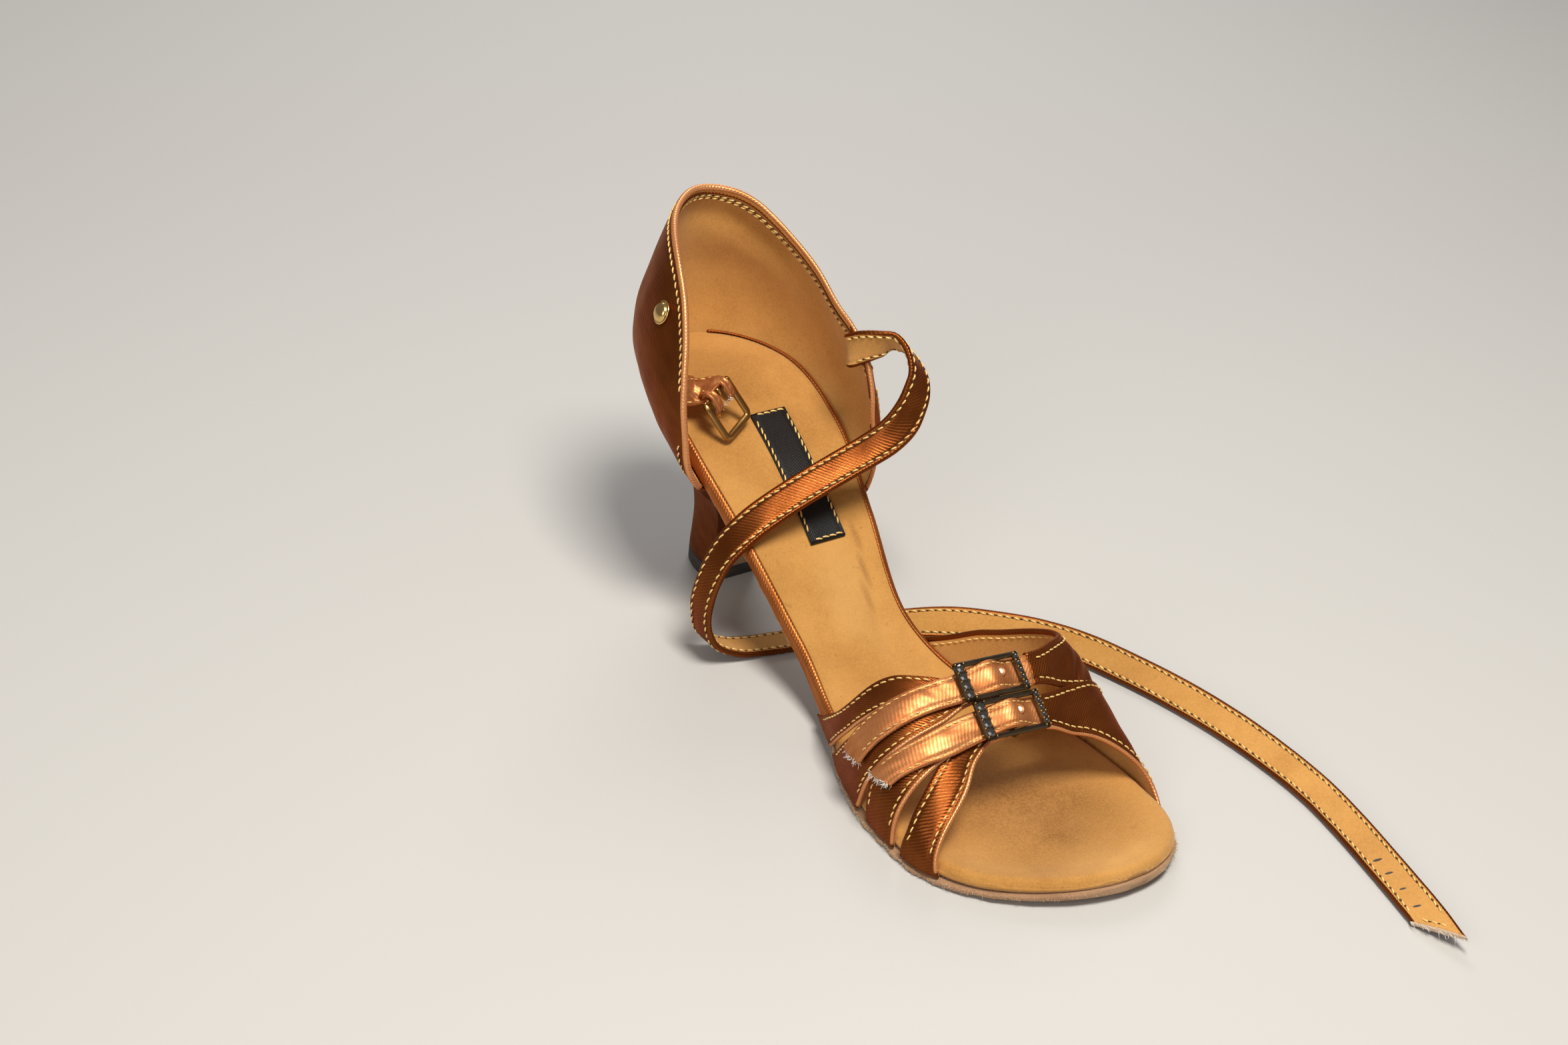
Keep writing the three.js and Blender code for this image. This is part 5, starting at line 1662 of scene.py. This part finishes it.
def ribbon_place(route, width, thick, slant=0.0, tip=12.0):
    """Place function of a flat strap along a route; way is the length along the middle line."""
    points = np.array([row[0] for row in route], float)
    turns = np.array([row[1] for row in route], float)
    line, twist = smooth_path(points), smooth_path(turns)
    spans = travelled(points)
    shares = np.linspace(0, 1, len(spans))
    total = spans[-1]

    def at(path, way):
        return path(np.interp(way, spans, shares))

    def place(way, side, depth):
        way, side, depth = floats(way, side, depth)
        shift = slant / 2 * side * smoothstep(way, total - tip, total)
        forward = unit(at(line, np.minimum(way + 0.4, total)) - at(line, np.maximum(way - 0.4, 0)))
        across = unit(square_to(at(twist, way), forward))
        face = np.cross(across, forward)
        offset = across * (side * width / 2)[..., None] + face * (depth - thick / 2)[..., None]
        return at(line, way) + offset + forward * shift[..., None]

    return place, total


HOLES_FROM_TIP, HOLES_ACROSS = (31.5, 25.5, 18.8, 11.0), -0.2
STRAP_SEAM = 1.6
SLIT_HALF = 1.3
# Bends across the strap: way along it, half width and height
STRAP_BENDS = (
    (14.0, 7.0, 0.35),
    (40.0, 3.0, -0.5),
    (52.0, 2.5, 0.4),
    (152.0, 3.0, -0.45),
    (186.0, 4.0, 0.4),
)


def strap_holes(way, across, total):
    """Dents round the punched slits near the strap's tip."""
    middle = (1 + HOLES_ACROSS) * ANKLE_WIDTH / 2
    dents = [((way - total + at) / 1.5) ** 2 + ((across - middle) / 1.8) ** 2 for at in HOLES_FROM_TIP]
    return sum(np.exp(-dent) for dent in dents)


def ankle_satin(place, total):
    """Satin and lining of the long strap, with its bends, the dents of its slits and a thin root."""
    def pull(way, inside):
        return 0.2 * hump(inside, STRAP_SEAM, 0.4) + 0.5 * (1 - smoothstep(way, 8, 17))

    def soft(way, across, inside):
        bends = sum(deep * hump(way - 0.25 * across, at, wide) for at, wide, deep in STRAP_BENDS)
        waves = 0.1 * ripple(way, across, 12, 71)
        return 0.45 * bends + waves - 0.2 * strap_holes(way, across, total) - pull(way, inside)

    def under(way, across, inside):
        waves = 0.08 * ripple(way, across, 10, 72)
        return waves - 0.12 * strap_holes(way, across, total) - pull(way, inside)

    strap("ankle_strap_satin", np.linspace(0, total, 420), ANKLE_WIDTH, place, ANKLE_THICK,
          [COPPER, LINING, CUT_EDGE], replaces=("ankle_strap",), crown=0.2, relief=soft, inner_relief=under,
          middle_count=25, turned_in=0.9)


def ankle_seams(place, total):
    """Seams along both edges, on both faces, and a short one across the tip's lining."""
    thread, holes = Soup(), Soup()
    ways = np.linspace(19, total - 6, 800)
    inset = 1 - 2 * STRAP_SEAM / ANKLE_WIDTH
    front, back = (ANKLE_THICK + ON_FACE, 1), (-ON_FACE, -1)
    rows = [(ways, side, face) for side in (-inset, inset) for face in (front, back)]
    rows.append((total - 2.6, np.linspace(-inset, inset, 40), back))
    for way, side, (depth, sign) in rows:
        path, normal = surface_row(place, way, side, depth)
        stitch(thread, path, normal * sign, STRAP_STITCH, holes)
    thread.piece("ankle_strap_stitches", [THREAD])
    holes.piece("ankle_strap_hole_shade", [HOLE_SHADE])


def ankle_slits(place, total):
    """Punched slits for the prong."""
    slits = Soup()
    steps = np.linspace(-SLIT_HALF, SLIT_HALF, 9)
    radius = 0.5 * np.sqrt(1.02 - (steps / 1.35) ** 2)
    for at in HOLES_FROM_TIP:
        sides = HOLES_ACROSS + 2 * steps / ANKLE_WIDTH
        path, normal = surface_row(place, total - at + 0.25 * steps, sides, 0.12)
        slits.add(*tube_mesh(path, radius, 8, normal, 0.5))
    slits.piece("ankle_strap_slits", [RUBBER])


def ankle_strap():
    route = root_route() + ANKLE_ROUTE + floor_route()
    place, total = ribbon_place(route, ANKLE_WIDTH, ANKLE_THICK, ANKLE_SLANT)
    ankle_satin(place, total)
    ankle_seams(place, total)
    ankle_slits(place, total)
    end = place(total, np.linspace(-1, 1, 40), np.linspace(0.3, 1.5, 40))
    out = unit(place(total, 0.0, ANKLE_THICK / 2) - place(total - 3, 0.0, ANKLE_THICK / 2))
    fray("ankle_strap_fray", end, out, 1.5, 70, 0.3)


def bar_axes():
    """Middle of the ankle buckle's bar, and its ways: down the hanging frame, along the bar and outwards."""
    across = unit(BAR_ALONG)
    run = unit(square_to(BAR_HANG, across))
    return BAR_MIDDLE, run, across, np.cross(run, across)


BAR_LANDING = ((-2.4, 2.4), (-2.4, 0.2), (-1.6, -1.7))
BAR_TURN = (
    (-2.4, 0.2),
    (-1.6, -1.7),
    (-0.1, -2.4),
    (2.0, -2.3),
    (4.2, -1.5),
    (4.9, -0.1),
    (4.2, 1.1),
    (2.2, 1.7),
    (0.4, 2.0),
)


def puffed(way, across, inside):
    """Crushed satin that swells between its seams."""
    folds = 0.3 * ripple(way, across, 6, 81) + 0.1 * ripple(way, across, 2.6, 82)
    return folds * smoothstep(inside, 0.2, 1.6) - 0.15 * hump(inside, 1.3, 0.4)


def buckle_strap():
    """Short strap from the outer wing; it turns round the buckle's bar on both sides of the prong's slot."""
    middle, run, across, normal = bar_axes()
    root = SHORT_ROUTE + [(middle + run * x + normal * z, across) for x, z in BAR_LANDING]
    place, total = ribbon_place(root, SHORT_WIDTH, SHORT_WALL)
    strap("buckle_strap_satin", np.linspace(0, total, 110), SHORT_WIDTH, place, SHORT_WALL,
          [CRUSHED_LIT, LINING, CRUSHED_LIT], replaces=("buckle_strap",), crown=0.35, relief=puffed)
    thread, slot_ends = Soup(), []
    for side in (-SHORT_SEAM, SHORT_SEAM):
        row = surface_row(place, np.linspace(4, total - 1, 110), side, SHORT_WALL + 0.1)
        stitch(thread, *row, SHORT_STITCH)
    width = (SHORT_WIDTH - SHORT_SLOT) / 2
    for sign, name in ((-1, "outer"), (1, "inner")):
        shift = across * sign * (SHORT_WIDTH + SHORT_SLOT) / 4
        route = [(middle + run * x + normal * z + shift, across) for x, z in BAR_TURN]
        place, total = ribbon_place(route, width, SHORT_WALL)
        strap(f"buckle_strap_turn_{name}", np.linspace(0, total, 90), width, place, SHORT_WALL,
              [CRUSHED_LIT, LINING, FLUFF], crown=0.2, relief=puffed)
        slot_ends.append(place(np.linspace(7.0, 11.0, 16), -sign * 0.98, 0.6))
    thread.piece("buckle_strap_stitches", [THREAD])
    fray("buckle_strap_fray", np.concatenate(slot_ends), unit(run * 0.6 - normal), 0.9, 60, 0.6)


def ankle_buckle():
    """Rounded frame, the bar that carries it, and a knuckle at each end of the bar."""
    axes = bar_axes()
    side, end = (ANKLE_ACROSS - ANKLE_BAR_THICK) / 2, ANKLE_RUN - ANKLE_BAR_THICK
    corner = ANKLE_CORNER
    path = [(0, side, 0), (3, side, 0)]
    for cx, cy, first in ((end - corner, side - corner, 90), (end - corner, -side + corner, 0)):
        for angle in np.radians(np.linspace(first, first - 90, 8)):
            path.append((cx + corner * math.cos(angle), cy + corner * math.sin(angle), 0))
    path += [(3, -side, 0), (0, -side, 0)]
    soup = Soup()
    normal = np.broadcast_to(axes[3], (len(path), 3))
    soup.add(*tube_mesh(placed(np.array(path), *axes), FRAME_RADIUS, 12, normal, FRAME_FLAT))
    bar = np.array([(0, y, 0) for y in np.linspace(-side, side, 6)])
    soup.add(*tube_mesh(placed(bar, *axes), BAR_RADIUS, 12))
    vertices, faces = turned(KNUCKLE, 14)
    knuckle = vertices[:, (2, 0, 1)] * (0.9, 0.8, 0.95)
    for y in (-side, side):
        soup.add(placed(knuckle + (0, y, 0), *axes), faces)
    soup.piece("ankle_buckle_frame", [BRONZE], body="buckle", slot="gold_metal", replaces=("ankle_buckle",))


def ankle_prong():
    """Prong that hangs straight down from the bar, bent round it in a loop."""
    middle, _, across, _ = bar_axes()
    run = unit(square_to(np.array((0, 0, -1.0)), across))
    axes = (middle, run, across, np.cross(run, across))
    angles = np.linspace(0.5, 2 * math.pi - 0.3, 26)
    loop = PRONG_LOOP * np.stack([np.cos(angles), 0 * angles, np.sin(angles)], axis=1)
    soup = Soup()
    soup.add(*tube_mesh(placed(loop, *axes), PRONG_WIRE, 10))
    steps = np.linspace(PRONG_START, PRONG_LENGTH, 16)
    rod = np.stack([steps, 0 * steps, PRONG_BEND * np.sin(steps / PRONG_LENGTH * math.pi)], axis=1)
    radius = np.interp(steps, (PRONG_START, 9.6, PRONG_LENGTH), (PRONG_RADIUS, 0.62, 0.3))
    soup.add(*tube_mesh(placed(rod, *axes), radius, 10))
    soup.piece("ankle_prong_pin", [GOLD], body="prong", slot="gold_metal", replaces=("ankle_prong",))


# Stage
def camera():
    """Camera at the place that was fitted to the photograph."""
    azimuth, elevation, roll = (math.radians(v) for v in (AZIMUTH, ELEVATION, ROLL))
    level = math.cos(elevation)
    back = np.array((math.sin(azimuth) * level, -math.cos(azimuth) * level, math.sin(elevation)))
    right = unit(np.cross(-back, (0, 0, 1)))
    down = np.cross(-back, right)
    turn_right = math.cos(roll) * right + math.sin(roll) * down
    turn_down = -math.sin(roll) * right + math.cos(roll) * down
    # The camera is turned a little, so that the target falls on its own pixel
    aim = unit([(TARGET_PIXEL[k] - IMAGE[k] / 2) / FOCAL_PIXELS for k in (0, 1)] + [1.0])
    swing = Vector((0, 0, 1)).rotation_difference(Vector(aim)).to_matrix()
    rows = np.array(swing) @ np.stack([turn_right, turn_down, -back])
    place = Matrix.Translation(Vector((np.array(TARGET) + back * DISTANCE) * MM))
    axes = Matrix(np.stack([rows[0], -rows[1], -rows[2]], axis=1).tolist()).to_4x4()
    data = bpy.data.cameras.new("camera")
    data.sensor_width = SENSOR
    data.lens = FOCAL_PIXELS * SENSOR / IMAGE[0]
    data.clip_start = 0.01
    item = add_object("camera", data)
    item.matrix_world = place @ axes
    bpy.context.scene.camera = item


# Lamps, in metres: name, place, size, power and colour
LAMPS = (
    ("key", (-0.10, -0.26, 0.95), (0.32, 0.32), 10.5, (1.0, 0.95, 0.87)),
    ("side", (-0.9, -0.4, 0.55), (0.5, 0.5), 3, (1.0, 0.97, 0.94)),
    ("back", (0.5, 0.85, 0.7), (0.5, 0.4), 4, (1, 1, 1)),
)
LAMP_AIM = (0, 0.04, 0.04)
FLOOR_COLOUR, FLOOR_HALF = (0.56, 0.55, 0.535, 1), 4
SKY_COLOUR, SKY_STRENGTH = (1.0, 0.97, 0.93, 1), 0.16


def lamp(name, at, size, power, colour):
    data = bpy.data.lights.new(name, "AREA")
    data.shape = "RECTANGLE"
    data.size, data.size_y = size
    data.energy = power
    data.color = colour
    item = add_object(name, data)
    item.location = Vector(at)
    item.rotation_euler = (Vector(LAMP_AIM) - item.location).to_track_quat("-Z", "Y").to_euler()


def studio():
    mesh = bpy.data.meshes.new("floor")
    corners = [(x * FLOOR_HALF, y * FLOOR_HALF, 0) for x, y in ((-1, -1), (1, -1), (1, 1), (-1, 1))]
    mesh.from_pydata(corners, [], [(0, 1, 2, 3)])
    paint = Shader("floor_paint", Roughness=0.85)
    paint.surface.inputs["Base Color"].default_value = FLOOR_COLOUR
    mesh.materials.append(paint.material)
    floor = add_object("floor", mesh)
    world = bpy.data.worlds.new("studio")
    world.use_nodes = True
    background = world.node_tree.nodes["Background"]
    background.inputs["Color"].default_value = SKY_COLOUR
    background.inputs["Strength"].default_value = SKY_STRENGTH
    bpy.context.scene.world = world
    bpy.context.scene.view_settings.view_transform = "Standard"
    for row in LAMPS:
        lamp(*row)


camera()
insole()
insole_binding()
outsole()
outsole_fuzz()
heel()
breast_flap()
sock_label()
counter()
counter_piping()
counter_seams()
counter_stud()
vamp_lateral()
pin_loops()
vamp_medial()
vamp_buckles()
ankle_strap()
buckle_strap()
ankle_buckle()
ankle_prong()
studio()
